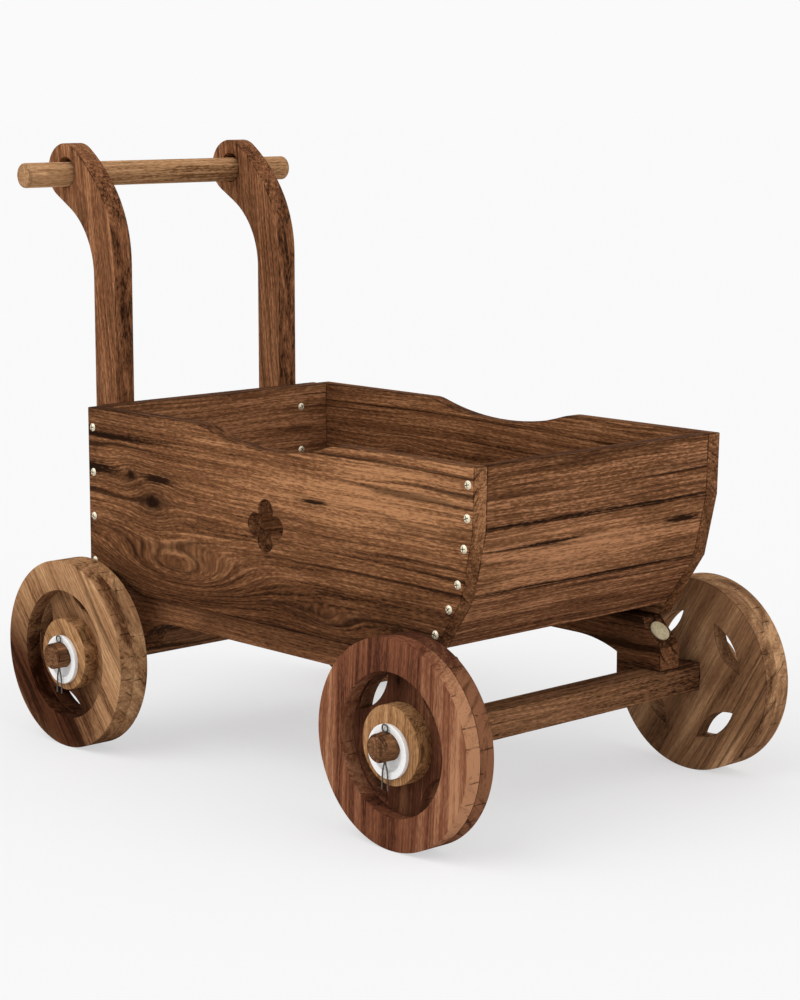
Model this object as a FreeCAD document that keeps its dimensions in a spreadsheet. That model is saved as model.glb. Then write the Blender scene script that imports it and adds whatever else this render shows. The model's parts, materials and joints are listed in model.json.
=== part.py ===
import FreeCAD, Part
import math
import os
import Sketcher

# A four-wheeled wooden cart: an open box with a raked front on two bridge-shaped bearers,
# two square axle beams with round ends, four built-up wheels and a bar between two curved arms.
# Millimetres. +X is the raked front, +Y the left side, +Z up. The origin is on the ground,
# midway between the back of the arms' heads and the front of the front wheels.

document = FreeCAD.newDocument("CartStand")
Vector = FreeCAD.Vector
OUT_FOLDER = "parts"

# ---------------------------------------------------------------- driving sizes

SIZES = {
    # wheels and axles
    "wheel_diameter": 190.0,
    "wheel_ply": 16.5,
    "wheel_opening_diameter": 130.0,
    "hub_ring_diameter": 72.0,
    "wheel_side_gap": 20.0,
    "wheel_running_clearance": 0.08,
    "slot_count": 4,
    "slot_tip_radius": 62.0,
    "slot_half_angle": 26.0,
    "slot_inner_radius": 46.0,
    "slot_outer_radius": 64.0,
    "wheelbase": 484.5,
    "axle_end_diameter": 26.0,
    "axle_end_projection": 16.5,
    "axle_end_chamfer": 1.5,
    "beam_side": 27.0,
    "shoulder_gap": 0.9,
    "washer_diameter": 49.0,
    "washer_hole_diameter": 36.0,
    "washer_thickness": 4.0,
    "washer_stand_off": 0.3,
    "hanging_clearance": 0.1,
    "pin_diameter": 3.0,
    "pin_clearance": 0.3,
    "pin_eye_radius": 2.8,
    "pin_leg_diameter": 2.2,
    "pin_leg_length": 25.0,
    "pin_leg_splay_angle": 8.0,
    # side panels
    "panel_thickness": 16.5,
    "panel_reach": 162.0,
    "panel_rear_reach": 24.0,
    "panel_length": 557.0,
    "box_height": 181.5,
    "scoop_length": 206.0,
    "scoop_depth": 15.3,
    "scoop_end_radius": 40.0,
    "ogee_start": 96.5,
    "ogee_length": 73.0,
    "ogee_rise": 19.5,
    "quatrefoil_height": 95.0,
    "quatrefoil_lobe_radius": 10.8,
    "quatrefoil_lobe_offset": 14.2,
    # raked front
    "front_board_thickness": 14.0,
    "upper_board_width": 58.4,
    "middle_board_width": 62.3,
    "front_foot_gap": 13.2,
    "upper_board_lean_angle": 1.7,
    "middle_board_lean_angle": 13.0,
    "lower_board_lean_angle": 34.0,
    # back, floor
    "rear_board_thickness": 22.0,
    "rear_board_overhang": 6.5,
    "batten_width": 40.0,
    "batten_thickness": 15.0,
    "front_batten_setback": 73.0,
    "floor_board_thickness": 12.0,
    "floor_board_count": 4,
    "drain_gap": 8.0,
    "floor_side_gap": 3.0,
    "floor_front_gap": 0.6,
    # bearers
    "rail_thickness": 28.0,
    "panel_bearing": 4.5,
    "rail_height": 49.0,
    "rail_depth": 27.5,
    "rail_leg_reach": 42.0,
    "rail_lip": 12.0,
    "rail_slope_length": 25.5,
    "rail_slope_height": 25.5,
    "front_arch_radius": 140.0,
    "front_arch_start": 95.5,
    "rear_arch_radius": 62.0,
    "rear_arch_start": 94.0,
    "plug_diameter": 21.0,
    "plug_depth": 8.0,
    "plug_proud": 1.5,
    "plug_clearance": 0.15,
    "plug_edge_bevel": 0.8,
    # handle
    "arm_thickness": 22.5,
    "arm_inset": 25.0,
    "arm_post_depth": 36.0,
    "arm_foot_rise": 5.0,
    "arm_head_rise": 233.5,
    "arm_head_setback": 84.0,
    "arm_head_radius": 28.5,
    "arm_rear_radius": 80.0,
    "arm_rear_slope_angle": 60.0,
    "arm_shoulder_radius": 183.0,
    "arm_shoulder_start_angle": 38.0,
    "arm_shoulder_end_angle": 56.0,
    "bar_diameter": 25.5,
    "bar_overhang": 52.5,
    "bar_end_chamfer": 1.5,
    "bar_hole_diameter": 30.0,
    "bar_hole_forward": 2.5,
    "bar_hole_drop": 1.2,
    # screws
    "screw_shank_diameter": 3.8,
    "screw_head_diameter": 8.0,
    "screw_crown_diameter": 4.6,
    "screw_head_height": 1.6,
    "screw_hole_clearance": 0.15,
    "side_screw_length": 36.0,
    "side_screw_top_inset": 16.0,
    "side_screw_bottom_inset": 13.0,
    "rear_screw_setback": 7.7,
    "rear_screw_top_inset": 20.0,
    "rear_screw_bottom_inset": 25.0,
    "floor_screw_length": 22.0,
    "rail_screw_length": 44.0,
    "rail_screw_inset": 10.0,
    "beam_screw_length": 46.0,
    "arm_screw_length": 48.0,
    "arm_screw_inset": 22.0,
    "bar_screw_length": 26.0,
    "screw_recess": 2.0,
}

sheet = document.addObject("Spreadsheet::Sheet", "Sizes")
for row, (alias, value) in enumerate(SIZES.items(), start=1):
    sheet.set(f"A{row}", alias)
    sheet.set(f"B{row}", str(value))
    sheet.setAlias(f"B{row}", alias)
document.recompute()


def size(alias):
    """The number that the sheet holds under an alias."""
    return float(sheet.get(alias))


def across(angle):
    """The unit vector at an angle in degrees in a sketch's plane."""
    return Vector(math.cos(math.radians(angle)), math.sin(math.radians(angle)), 0)


# ---------------------------------------------------------------- places worked out

SIDES = {"left": 1, "right": -1}
AXLE_HEIGHT = size("wheel_diameter") / 2
BACK_REACH = (size("wheelbase") + size("panel_rear_reach") + size("rear_board_overhang")
              + size("arm_head_setback") + size("arm_head_radius"))
FRONT_AXLE_X = (BACK_REACH - size("wheel_diameter") / 2) / 2
AXLE_X = {"front": FRONT_AXLE_X, "rear": FRONT_AXLE_X - size("wheelbase")}
PANEL_REAR = AXLE_X["rear"] - size("panel_rear_reach")
PANEL_FRONT = PANEL_REAR + size("panel_length")
PANEL_MIDDLE = (PANEL_REAR + PANEL_FRONT) / 2
WALL_BACK = PANEL_REAR - size("rear_board_overhang")
WALL_FRONT = WALL_BACK + size("rear_board_thickness")

WHEEL_INNER = size("panel_reach") + size("wheel_side_gap")
WHEEL_OUTER = WHEEL_INNER + 2 * size("wheel_ply")
SHOULDER = WHEEL_INNER - size("shoulder_gap")
AXLE_TIP = WHEEL_OUTER + size("axle_end_projection")
WASHER_INNER = WHEEL_OUTER + size("washer_stand_off")
WASHER_OUTER = WASHER_INNER + size("washer_thickness")
PIN_REACH = WASHER_OUTER + size("pin_clearance") + size("pin_diameter") / 2
INNER_REACH = size("panel_reach") - size("panel_thickness")
RAIL_OUTER = INNER_REACH + size("panel_bearing")
RAIL_INNER = RAIL_OUTER - size("rail_thickness")
RAIL_MIDDLE = (RAIL_OUTER + RAIL_INNER) / 2
RAIL_SCREW_Y = RAIL_INNER + size("rail_screw_inset")
ARM_OUTER = INNER_REACH - size("arm_inset")
ARM_INNER = ARM_OUTER - size("arm_thickness")
ARM_MIDDLE = (ARM_OUTER + ARM_INNER) / 2
BAR_REACH = ARM_OUTER + size("bar_overhang")

BEAM_TOP = AXLE_HEIGHT + size("beam_side") / 2
BEAM_BOTTOM = AXLE_HEIGHT - size("beam_side") / 2
BOX_BOTTOM = BEAM_TOP + size("rail_height")
BOX_TOP = BOX_BOTTOM + size("box_height")
HALF_BACK = size("box_height") / 2
BATTEN_TOP = BOX_BOTTOM + size("batten_thickness")
FLOOR_TOP = BATTEN_TOP + size("floor_board_thickness")

HEAD_X = WALL_BACK - size("arm_head_setback")
HEAD_Z = BOX_TOP + size("arm_head_rise")
BAR_HOLE_X = HEAD_X + size("bar_hole_forward")
BAR_HOLE_Z = HEAD_Z - size("bar_hole_drop")
BAR_Z = BAR_HOLE_Z - (size("bar_hole_diameter") - size("bar_diameter")) / 2 + size("hanging_clearance")

# The raked front, from the top down: each board's upper front corner, its width and its lean.
# The lowest board takes up what the other two leave.
FRONT_BOARDS = []
corner = Vector(PANEL_FRONT, BOX_TOP, 0)
for board in ("upper", "middle", "lower"):
    lean = size(f"{board}_board_lean_angle")
    if board == "lower":
        width = (corner.y - BOX_BOTTOM - size("front_foot_gap")) / math.cos(math.radians(lean))
    else:
        width = size(f"{board}_board_width")
    FRONT_BOARDS.append((board, corner, width, lean))
    corner = corner + across(270 - lean) * width
LOWER_FRONT_CORNER = corner
TOE_X = LOWER_FRONT_CORNER.x - size("front_foot_gap") * math.tan(math.radians(lean))

# The boards meet in mitres, the topmost edge is level and the lowest is square.
leans = [lean for board, corner, width, lean in FRONT_BOARDS]
edge_leans = [(above + below) / 2 for above, below in zip([-leans[0]] + leans, leans + leans[-1:])]
FRONT_EDGES = []
outer_corners = [corner for board, corner, width, lean in FRONT_BOARDS] + [LOWER_FRONT_CORNER]
for outer, edge_lean, lean in zip(outer_corners, edge_leans, leans + leans[-1:]):
    slant = size("front_board_thickness") / math.cos(math.radians(lean - edge_lean))
    FRONT_EDGES.append((outer, outer + across(180 - edge_lean) * slant))
LOWER_BACK_CORNER = FRONT_EDGES[-1][1]

# ---------------------------------------------------------------- ways to draw and build


class Outline:
    """A closed outline, drawn from point to point in a sketch's own plane."""

    def __init__(self, *start):
        self.here = Vector(*start, 0)
        self.pieces = []

    def line(self, *end):
        """A straight run to a point."""
        end = Vector(*end, 0)
        self.pieces.append(Part.LineSegment(self.here, end))
        self.here = end
        return self

    def arc(self, middle, end):
        """A round run to a point, through another."""
        self.pieces.append(Part.Arc(self.here, middle, end))
        self.here = end
        return self

    def sweep(self, centre, radius, start_angle, end_angle):
        """A straight run to a circle's angle, then round it to another angle."""
        start = centre + across(start_angle) * radius
        if (start - self.here).Length > 1e-6:
            self.line(start.x, start.y)
        middle = centre + across((start_angle + end_angle) / 2) * radius
        return self.arc(middle, centre + across(end_angle) * radius)

    def draw(self, sketch):
        """Put the outline in a sketch, joined end to end and held in place."""
        first = sketch.GeometryCount
        for piece in self.pieces:
            sketch.addGeometry(piece, False)
        for place in range(first, sketch.GeometryCount):
            sketch.addConstraint(Sketcher.Constraint("Block", place))


def new_body(label):
    """An empty body with a label of its own."""
    body = document.addObject("PartDesign::Body", label)
    body.Label = label
    return body


def new_sketch(body, name, role="XZ_Plane"):
    """A sketch on one of its own body's origin planes."""
    sketch = body.newObject("Sketcher::SketchObject", name)
    plane = next(plane for plane in body.Origin.OriginFeatures if plane.Role == role)
    sketch.AttachmentSupport = [(plane, "")]
    sketch.MapMode = "FlatFace"
    return sketch


def add_circle(sketch, centre, diameter_expression):
    """A circle whose diameter follows the sheet."""
    diameter = sketch.evalExpression(diameter_expression)
    place = sketch.addGeometry(Part.Circle(centre, Vector(0, 0, 1), float(diameter) / 2), False)
    sketch.addConstraint(Sketcher.Constraint("DistanceX", -1, 1, place, 3, centre.x))
    sketch.addConstraint(Sketcher.Constraint("DistanceY", -1, 1, place, 3, centre.y))
    row = sketch.addConstraint(Sketcher.Constraint("Diameter", place, float(diameter)))
    sketch.setExpression(f"Constraints[{row}]", diameter_expression)
    return place


def add_pad(body, sketch, length_expression, both_ways=False):
    """Push a sketch out by a length that follows the sheet."""
    pad = body.newObject("PartDesign::Pad", sketch.Name + "Pad")
    pad.Profile = sketch
    pad.setExpression("Length", length_expression)
    if both_ways:
        pad.SideType = "Symmetric"
    sketch.Visibility = False
    return pad


def add_cut(body, sketch):
    """Cut a sketch right through its body, both ways."""
    before = body.Tip.Shape.Volume
    cut = body.newObject("PartDesign::Pocket", sketch.Name + "Cut")
    cut.Profile = sketch
    cut.Type = "ThroughAll"
    cut.SideType = "Symmetric"
    document.recompute()
    if cut.Shape.Volume > before - 1e-3:
        raise ValueError(f"{cut.Name} removes nothing")
    return cut


def bevel_ends(body, rod, reach, size_expression):
    """Bevel the two ends of a round rod that lies along Y and reaches so far each way."""
    document.recompute()
    rims = []
    for place, edge in enumerate(rod.Shape.Edges, start=1):
        if abs(abs(edge.CenterOfMass.y) - reach) < 1e-6:
            rims.append(f"Edge{place}")
    bevel = body.newObject("PartDesign::Chamfer", rod.Name + "Bevel")
    bevel.Base = (rod, rims)
    bevel.setExpression("Size", size_expression)
    document.recompute()


def make_box(label, length, width, height):
    """A plain board whose three sizes follow the sheet."""
    box = document.addObject("Part::Box", label)
    box.Label = label
    box.setExpression("Length", length)
    box.setExpression("Width", width)
    box.setExpression("Height", height)
    return box


def make_drill(name, start, direction, depth, diameter_expression):
    """The round rod that a drill takes out."""
    rod = document.addObject("Part::Cylinder", name)
    rod.setExpression("Radius", f"({diameter_expression}) / 2")
    rod.Height = depth
    rod.Placement = FreeCAD.Placement(start, FreeCAD.Rotation(Vector(0, 0, 1), direction))
    return rod


def drilled(blank, drills):
    """The blank with its holes, under the blank's label."""
    label = blank.Label
    blank.Label = label + "_blank"
    rods = document.addObject("Part::Compound", label + "_drills")
    rods.Links = drills
    cut = document.addObject("Part::Cut", label + "_drilled")
    cut.Base = blank
    cut.Tool = rods
    document.recompute()
    if cut.Shape.Volume > blank.Shape.Volume - 1e-3:
        raise ValueError(f"{label}: the drills remove nothing")
    cut.Label = label
    return cut


SHANK_HOLE = "Sizes.screw_shank_diameter + 2 * Sizes.screw_hole_clearance"
HEAD_RECESS = "Sizes.screw_head_diameter + 4 * Sizes.screw_hole_clearance"
nodes = []

# ---------------------------------------------------------------- screws


class Screw:
    """One screw: where its head seats, which way it points, and its length's alias."""

    def __init__(self, seat, direction, length_alias):
        self.seat = seat
        self.direction = direction
        self.length_alias = length_alias

    def drill(self, name):
        """The hole for its shank, through all that it holds."""
        depth = size(self.length_alias) + 2 * size("screw_hole_clearance")
        start = self.seat - self.direction * size("screw_hole_clearance")
        return make_drill(name, start, self.direction, depth + size("screw_hole_clearance"), SHANK_HOLE)

    def recess(self, name):
        """The pocket that lets its head lie below the surface."""
        return make_drill(name, self.seat, -self.direction, 2 * size("screw_recess"), HEAD_RECESS)


def make_screw_master(length_alias):
    """A screw with a raised head that points down, its head seated at the origin."""
    body = new_body("master_" + length_alias)
    sketch = new_sketch(body, "Profile_" + length_alias)
    head = size("screw_head_diameter") / 2
    crown = size("screw_crown_diameter") / 2
    rise = size("screw_head_height")
    shank = size("screw_shank_diameter") / 2
    length = size(length_alias)
    profile = Outline(0, -length).line(shank, -length).line(shank, 0).line(head, 0)
    profile.line(crown, rise).line(0, rise).line(0, -length).draw(sketch)
    turned = body.newObject("PartDesign::Revolution", "Turned_" + length_alias)
    turned.Profile = sketch
    turned.ReferenceAxis = (sketch, ["V_Axis"])
    turned.Angle = 360
    document.recompute()
    return body.Shape


SCREW_MASTERS = {}


def make_screw_group(label, screws):
    """One node for screws of a kind, each a solid of its own."""
    solids = []
    for screw in screws:
        if screw.length_alias not in SCREW_MASTERS:
            SCREW_MASTERS[screw.length_alias] = make_screw_master(screw.length_alias)
        solid = SCREW_MASTERS[screw.length_alias].copy()
        turn = FreeCAD.Rotation(Vector(0, 0, -1), screw.direction)
        solid.Placement = FreeCAD.Placement(screw.seat, turn)
        solids.append(solid)
    group = document.addObject("Part::Feature", label)
    group.Label = label
    group.Shape = Part.makeCompound(solids)
    nodes.append(group)


def side_screws(side):
    """The screws that hold one side panel to the front and rear boards, front ones first."""
    inward = Vector(0, -side, 0)
    reach = side * size("panel_reach")
    screws = []
    for board, corner, width, lean in FRONT_BOARDS:
        down = across(270 - lean)
        middle = corner + across(180 - lean) * (size("front_board_thickness") / 2)
        for along in (size("side_screw_top_inset"), width - size("side_screw_bottom_inset")):
            seat = middle + down * along
            screws.append(Screw(Vector(seat.x, reach, seat.y), inward, "side_screw_length"))
    for top in (BOX_TOP, BOX_TOP - HALF_BACK):
        for drop in (size("rear_screw_top_inset"), HALF_BACK - size("rear_screw_bottom_inset")):
            seat = Vector(PANEL_REAR + size("rear_screw_setback"), reach, top - drop)
            screws.append(Screw(seat, inward, "side_screw_length"))
    return screws


SIDE_SCREWS = {name: side_screws(side) for name, side in SIDES.items()}


def arm_screws(side):
    """The screws through the back into one arm, the lowest first."""
    low = FLOOR_TOP + size("arm_screw_inset")
    middle = BOX_BOTTOM + HALF_BACK + size("arm_screw_inset")
    high = BOX_TOP - size("arm_screw_inset")
    seats = [Vector(WALL_FRONT, side * ARM_MIDDLE, height) for height in (low, middle, high)]
    return [Screw(seat, Vector(-1, 0, 0), "arm_screw_length") for seat in seats]


ARM_SCREWS = {name: arm_screws(side) for name, side in SIDES.items()}


def beam_screw(axle_x, side):
    """The screw up through a beam into a bearer's foot."""
    return Screw(Vector(axle_x, side * RAIL_MIDDLE, BEAM_BOTTOM), Vector(0, 0, 1), "beam_screw_length")


# ---------------------------------------------------------------- wheels


def make_wheel_ply(label, side, inner, turn_angle, axle_x, draw):
    """One glued layer of a wheel, from its inner face outwards."""
    body = new_body(label)
    sketch = new_sketch(body, label + "_face")
    draw(sketch)
    add_pad(body, sketch, "Sizes.wheel_ply")
    high = inner + size("wheel_ply") if side > 0 else -inner
    turn = FreeCAD.Rotation(Vector(0, -1, 0), turn_angle)
    body.Placement = FreeCAD.Placement(Vector(axle_x, high, AXLE_HEIGHT), turn)
    return body


def draw_disc(sketch):
    """The back disc: its edge and its bore."""
    add_circle(sketch, Vector(), "Sizes.wheel_diameter")
    add_circle(sketch, Vector(), "Sizes.axle_end_diameter + 2 * Sizes.wheel_running_clearance")


def draw_rim(sketch):
    """The rim ring: the wheel's edge and the opening."""
    add_circle(sketch, Vector(), "Sizes.wheel_diameter")
    add_circle(sketch, Vector(), "Sizes.wheel_opening_diameter")


def draw_hub(sketch):
    """The hub ring, with the same bore as the disc."""
    add_circle(sketch, Vector(), "Sizes.hub_ring_diameter")
    add_circle(sketch, Vector(), "Sizes.axle_end_diameter + 2 * Sizes.wheel_running_clearance")


def cut_slots(body, label):
    """The lens-shaped slots round the back disc, between the hub ring and the rim ring."""
    half = size("slot_half_angle")
    tips = [across(45 + half) * size("slot_tip_radius"), across(45 - half) * size("slot_tip_radius")]
    sketch = new_sketch(body, label + "_slot")
    slot = Outline(tips[0].x, tips[0].y).arc(across(45) * size("slot_outer_radius"), tips[1])
    slot.arc(across(45) * size("slot_inner_radius"), tips[0]).draw(sketch)
    document.recompute()
    cut = add_cut(body, sketch)
    ring = body.newObject("PartDesign::PolarPattern", label + "_slots")
    ring.Originals = [cut]
    ring.Axis = (sketch, ["N_Axis"])
    ring.Angle = 360
    ring.setExpression("Occurrences", "Sizes.slot_count")
    body.Tip = ring


# How far each wheel happens to be turned, in degrees.
WHEEL_TURNS = {"front_left": -10.0, "front_right": 0.0, "rear_left": 15.0, "rear_right": 27.0}

for end, axle_x in AXLE_X.items():
    for side_name, side in SIDES.items():
        wheel = f"{end}_{side_name}"
        turn_angle = WHEEL_TURNS[wheel]
        middle = WHEEL_INNER + size("wheel_ply")
        disc = make_wheel_ply(f"wheel_disc_{wheel}", side, WHEEL_INNER, turn_angle, axle_x, draw_disc)
        cut_slots(disc, f"wheel_disc_{wheel}")
        rim = make_wheel_ply(f"wheel_rim_{wheel}", side, middle, turn_angle, axle_x, draw_rim)
        hub = make_wheel_ply(f"wheel_hub_{wheel}", side, middle, turn_angle, axle_x, draw_hub)
        nodes.extend([disc, rim, hub])

# ---------------------------------------------------------------- axle beams

for end, axle_x in AXLE_X.items():
    body = new_body(f"axle_beam_{end}")
    sketch = new_sketch(body, f"beam_square_{end}")
    half = size("beam_side") / 2
    Outline(-half, -half).line(half, -half).line(half, half).line(-half, half).line(-half, -half).draw(sketch)
    add_pad(body, sketch, f"{2 * SHOULDER} mm", both_ways=True)
    sketch = new_sketch(body, f"beam_round_{end}")
    add_circle(sketch, Vector(), "Sizes.axle_end_diameter")
    round_ends = add_pad(body, sketch, f"{2 * AXLE_TIP} mm", both_ways=True)
    bevel_ends(body, round_ends, AXLE_TIP, "Sizes.axle_end_chamfer")
    sketch = new_sketch(body, f"beam_pin_holes_{end}", role="XY_Plane")
    hole = "Sizes.pin_diameter + 2 * Sizes.pin_clearance"
    for side in SIDES.values():
        add_circle(sketch, Vector(0, side * PIN_REACH, 0), hole)
    add_cut(body, sketch)
    body.Placement.Base = Vector(axle_x, 0, AXLE_HEIGHT)
    document.recompute()
    beam_screws = [beam_screw(axle_x, side) for side in SIDES.values()]
    drills = [screw.drill(f"beam_drill_{end}_{place}") for place, screw in enumerate(beam_screws)]
    nodes.append(drilled(body, drills))
    make_screw_group(f"beam_screws_{end}", beam_screws)

# ---------------------------------------------------------------- washers and split pins

WASHER_DROP = (size("washer_hole_diameter") - size("axle_end_diameter")) / 2 - size("hanging_clearance")
STUB_RADIUS = size("axle_end_diameter") / 2
LEG_RADIUS = size("pin_leg_diameter") / 2
# The eye rests on the rim of its hole, so it dips a little into the hole's mouth.
HOLE_RADIUS = size("pin_diameter") / 2 + size("pin_clearance")
MOUTH_HEIGHT = math.sqrt(STUB_RADIUS ** 2 - HOLE_RADIUS ** 2)
EYE_RISE = math.sqrt((size("pin_eye_radius") + LEG_RADIUS) ** 2 - HOLE_RADIUS ** 2)
EYE_HEIGHT = AXLE_HEIGHT + MOUTH_HEIGHT + EYE_RISE + size("hanging_clearance")
PIN_FORK_HEIGHT = AXLE_HEIGHT - STUB_RADIUS - size("pin_diameter")


def make_pin(wheel, side, axle_x):
    """A split pin: a flat eye on top, a shank through the axle end and two spread legs below."""
    fork = Vector(axle_x, side * PIN_REACH, PIN_FORK_HEIGHT)
    shank = document.addObject("Part::Cylinder", f"pin_shank_{wheel}")
    shank.setExpression("Radius", "Sizes.pin_diameter / 2")
    shank.Height = EYE_HEIGHT - size("pin_eye_radius") - PIN_FORK_HEIGHT
    shank.Placement.Base = fork
    eye_place = Vector(fork.x, fork.y + LEG_RADIUS, EYE_HEIGHT)
    rounds = []
    for name, change in (("outside", "+"), ("inside", "-")):
        disc = document.addObject("Part::Cylinder", f"pin_eye_{name}_{wheel}")
        disc.setExpression("Radius", f"Sizes.pin_eye_radius {change} Sizes.pin_leg_diameter / 2")
        disc.setExpression("Height", "Sizes.pin_leg_diameter")
        disc.Placement = FreeCAD.Placement(eye_place, FreeCAD.Rotation(Vector(1, 0, 0), 90))
        rounds.append(disc)
    eye = document.addObject("Part::Cut", f"pin_eye_{wheel}")
    eye.Base, eye.Tool = rounds
    pieces = [shank, eye]
    for lean in (-1, 1):
        leg = document.addObject("Part::Cylinder", f"pin_leg_{wheel}_{lean + 1}")
        leg.setExpression("Radius", "Sizes.pin_leg_diameter / 2")
        leg.setExpression("Height", "Sizes.pin_leg_length")
        start = fork + Vector(lean * (size("pin_diameter") / 2 - LEG_RADIUS), 0, size("pin_diameter") / 2)
        downward = FreeCAD.Rotation(Vector(0, -1, 0), 180 + lean * size("pin_leg_splay_angle"))
        leg.Placement = FreeCAD.Placement(start, downward)
        pieces.append(leg)
    pin = document.addObject("Part::MultiFuse", f"split_pin_{wheel}")
    pin.Label = f"split_pin_{wheel}"
    pin.Shapes = pieces
    nodes.append(pin)


for end, axle_x in AXLE_X.items():
    for side_name, side in SIDES.items():
        wheel = f"{end}_{side_name}"
        washer = new_body(f"washer_{wheel}")
        sketch = new_sketch(washer, f"washer_face_{wheel}")
        add_circle(sketch, Vector(), "Sizes.washer_diameter")
        add_circle(sketch, Vector(), "Sizes.washer_hole_diameter")
        add_pad(washer, sketch, "Sizes.washer_thickness")
        high = WASHER_OUTER if side > 0 else -WASHER_INNER
        washer.Placement.Base = Vector(axle_x, high, AXLE_HEIGHT - WASHER_DROP)
        nodes.append(washer)
        make_pin(wheel, side, axle_x)

# ---------------------------------------------------------------- side panels


def draw_panel(sketch):
    """The panel's outline: scooped top, three front slopes, level bottom and rear ogee."""
    half = size("scoop_length") / 2
    depth = size("scoop_depth")
    small = size("scoop_end_radius")
    large = (half * half + depth * depth) / (2 * depth) - small
    scoop_centre = Vector(PANEL_MIDDLE, BOX_TOP - depth + large, 0)
    swing = math.degrees(math.asin(half / (large + small)))
    rise = size("ogee_rise")
    length = size("ogee_length")
    ogee_radius = (length * length + rise * rise) / (4 * rise)
    ogee_swing = math.degrees(math.asin(length / 2 / ogee_radius))
    ogee_start = PANEL_REAR + size("ogee_start")
    shape = Outline(PANEL_REAR, BOX_BOTTOM + rise).line(PANEL_REAR, BOX_TOP)
    shape.sweep(Vector(PANEL_MIDDLE - half, BOX_TOP - small, 0), small, 90, 90 - swing)
    shape.sweep(scoop_centre, large, 270 - swing, 270 + swing)
    shape.sweep(Vector(PANEL_MIDDLE + half, BOX_TOP - small, 0), small, 90 + swing, 90)
    for board, corner, width, lean in FRONT_BOARDS:
        shape.line(corner.x, corner.y)
    shape.line(LOWER_FRONT_CORNER.x, LOWER_FRONT_CORNER.y).line(TOE_X, BOX_BOTTOM)
    shape.sweep(Vector(ogee_start, BOX_BOTTOM + ogee_radius, 0), ogee_radius, 270, 270 - ogee_swing)
    upper = Vector(ogee_start - length, BOX_BOTTOM + rise - ogee_radius, 0)
    shape.sweep(upper, ogee_radius, 90 - ogee_swing, 90)
    shape.line(PANEL_REAR, BOX_BOTTOM + rise).draw(sketch)


def draw_quatrefoil(sketch):
    """Four lobes round a centre, each an arc from one cusp to the next."""
    radius = size("quatrefoil_lobe_radius")
    offset = size("quatrefoil_lobe_offset")
    cusp = (offset + math.sqrt(2 * radius * radius - offset * offset)) / 2
    middle = Vector(PANEL_MIDDLE, BOX_BOTTOM + size("quatrefoil_height"), 0)
    start = middle + Vector(cusp, -cusp, 0)
    shape = Outline(start.x, start.y)
    for quarter in range(4):
        angle = 90 * quarter
        end = middle + across(angle + 45) * (cusp * math.sqrt(2))
        shape.arc(middle + across(angle) * (offset + radius), end)
    shape.draw(sketch)


for side_name, side in SIDES.items():
    body = new_body(f"side_panel_{side_name}")
    sketch = new_sketch(body, f"panel_outline_{side_name}")
    draw_panel(sketch)
    add_pad(body, sketch, "Sizes.panel_thickness")
    document.recompute()
    sketch = new_sketch(body, f"panel_quatrefoil_{side_name}")
    draw_quatrefoil(sketch)
    add_cut(body, sketch)
    body.Placement.Base = Vector(0, size("panel_reach") if side > 0 else -INNER_REACH, 0)
    document.recompute()
    screws = SIDE_SCREWS[side_name]
    drills = [screw.drill(f"panel_drill_{side_name}_{place}") for place, screw in enumerate(screws)]
    nodes.append(drilled(body, drills))
    make_screw_group(f"side_screws_{side_name}", screws)

# ---------------------------------------------------------------- raked front

BETWEEN_PANELS = "2 * (Sizes.panel_reach - Sizes.panel_thickness)"

for number, (board, corner, width, lean) in enumerate(FRONT_BOARDS):
    body = new_body(f"front_board_{board}")
    sketch = new_sketch(body, f"front_end_{board}")
    (top_front, top_back), (low_front, low_back) = FRONT_EDGES[number:number + 2]
    shape = Outline(top_front.x, top_front.y).line(low_front.x, low_front.y)
    shape.line(low_back.x, low_back.y).line(top_back.x, top_back.y)
    shape.line(top_front.x, top_front.y).draw(sketch)
    add_pad(body, sketch, BETWEEN_PANELS, both_ways=True)
    document.recompute()
    drills = []
    for side_name, screws in SIDE_SCREWS.items():
        for place, screw in enumerate(screws[2 * number:2 * number + 2]):
            drills.append(screw.drill(f"{board}_board_drill_{side_name}_{place}"))
    nodes.append(drilled(body, drills))

# ---------------------------------------------------------------- back

for number, board in enumerate(("upper", "lower")):
    box = make_box(f"rear_board_{board}", "Sizes.rear_board_thickness", BETWEEN_PANELS,
                   "Sizes.box_height / 2")
    box.Placement.Base = Vector(WALL_BACK, -INNER_REACH, BOX_BOTTOM + (1 - number) * HALF_BACK)
    first = 2 * len(FRONT_BOARDS) + 2 * number
    drills = []
    for side_name, screws in SIDE_SCREWS.items():
        from_side = screws[first:first + 2]
        from_front = ARM_SCREWS[side_name][1:] if board == "upper" else ARM_SCREWS[side_name][:1]
        for place, screw in enumerate(from_side + from_front):
            drills.append(screw.drill(f"rear_{board}_drill_{side_name}_{place}"))
    nodes.append(drilled(box, drills))

# ---------------------------------------------------------------- battens and floor

FLOOR_COUNT = int(size("floor_board_count"))
FLOOR_SPAN = 2 * (INNER_REACH - size("floor_side_gap"))
FLOOR_WIDTH = (FLOOR_SPAN - (FLOOR_COUNT - 1) * size("drain_gap")) / FLOOR_COUNT
FLOOR_END = LOWER_BACK_CORNER.x - size("floor_front_gap")
FRONT_BATTEN = FLOOR_END - size("front_batten_setback") - size("batten_width") / 2
BATTEN_STARTS = {"rear": WALL_FRONT, "middle": (WALL_FRONT + FRONT_BATTEN) / 2, "front": FRONT_BATTEN}
FLOOR_BOARD_SIDES = [-FLOOR_SPAN / 2 + number * (FLOOR_WIDTH + size("drain_gap"))
                     for number in range(FLOOR_COUNT)]


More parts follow.
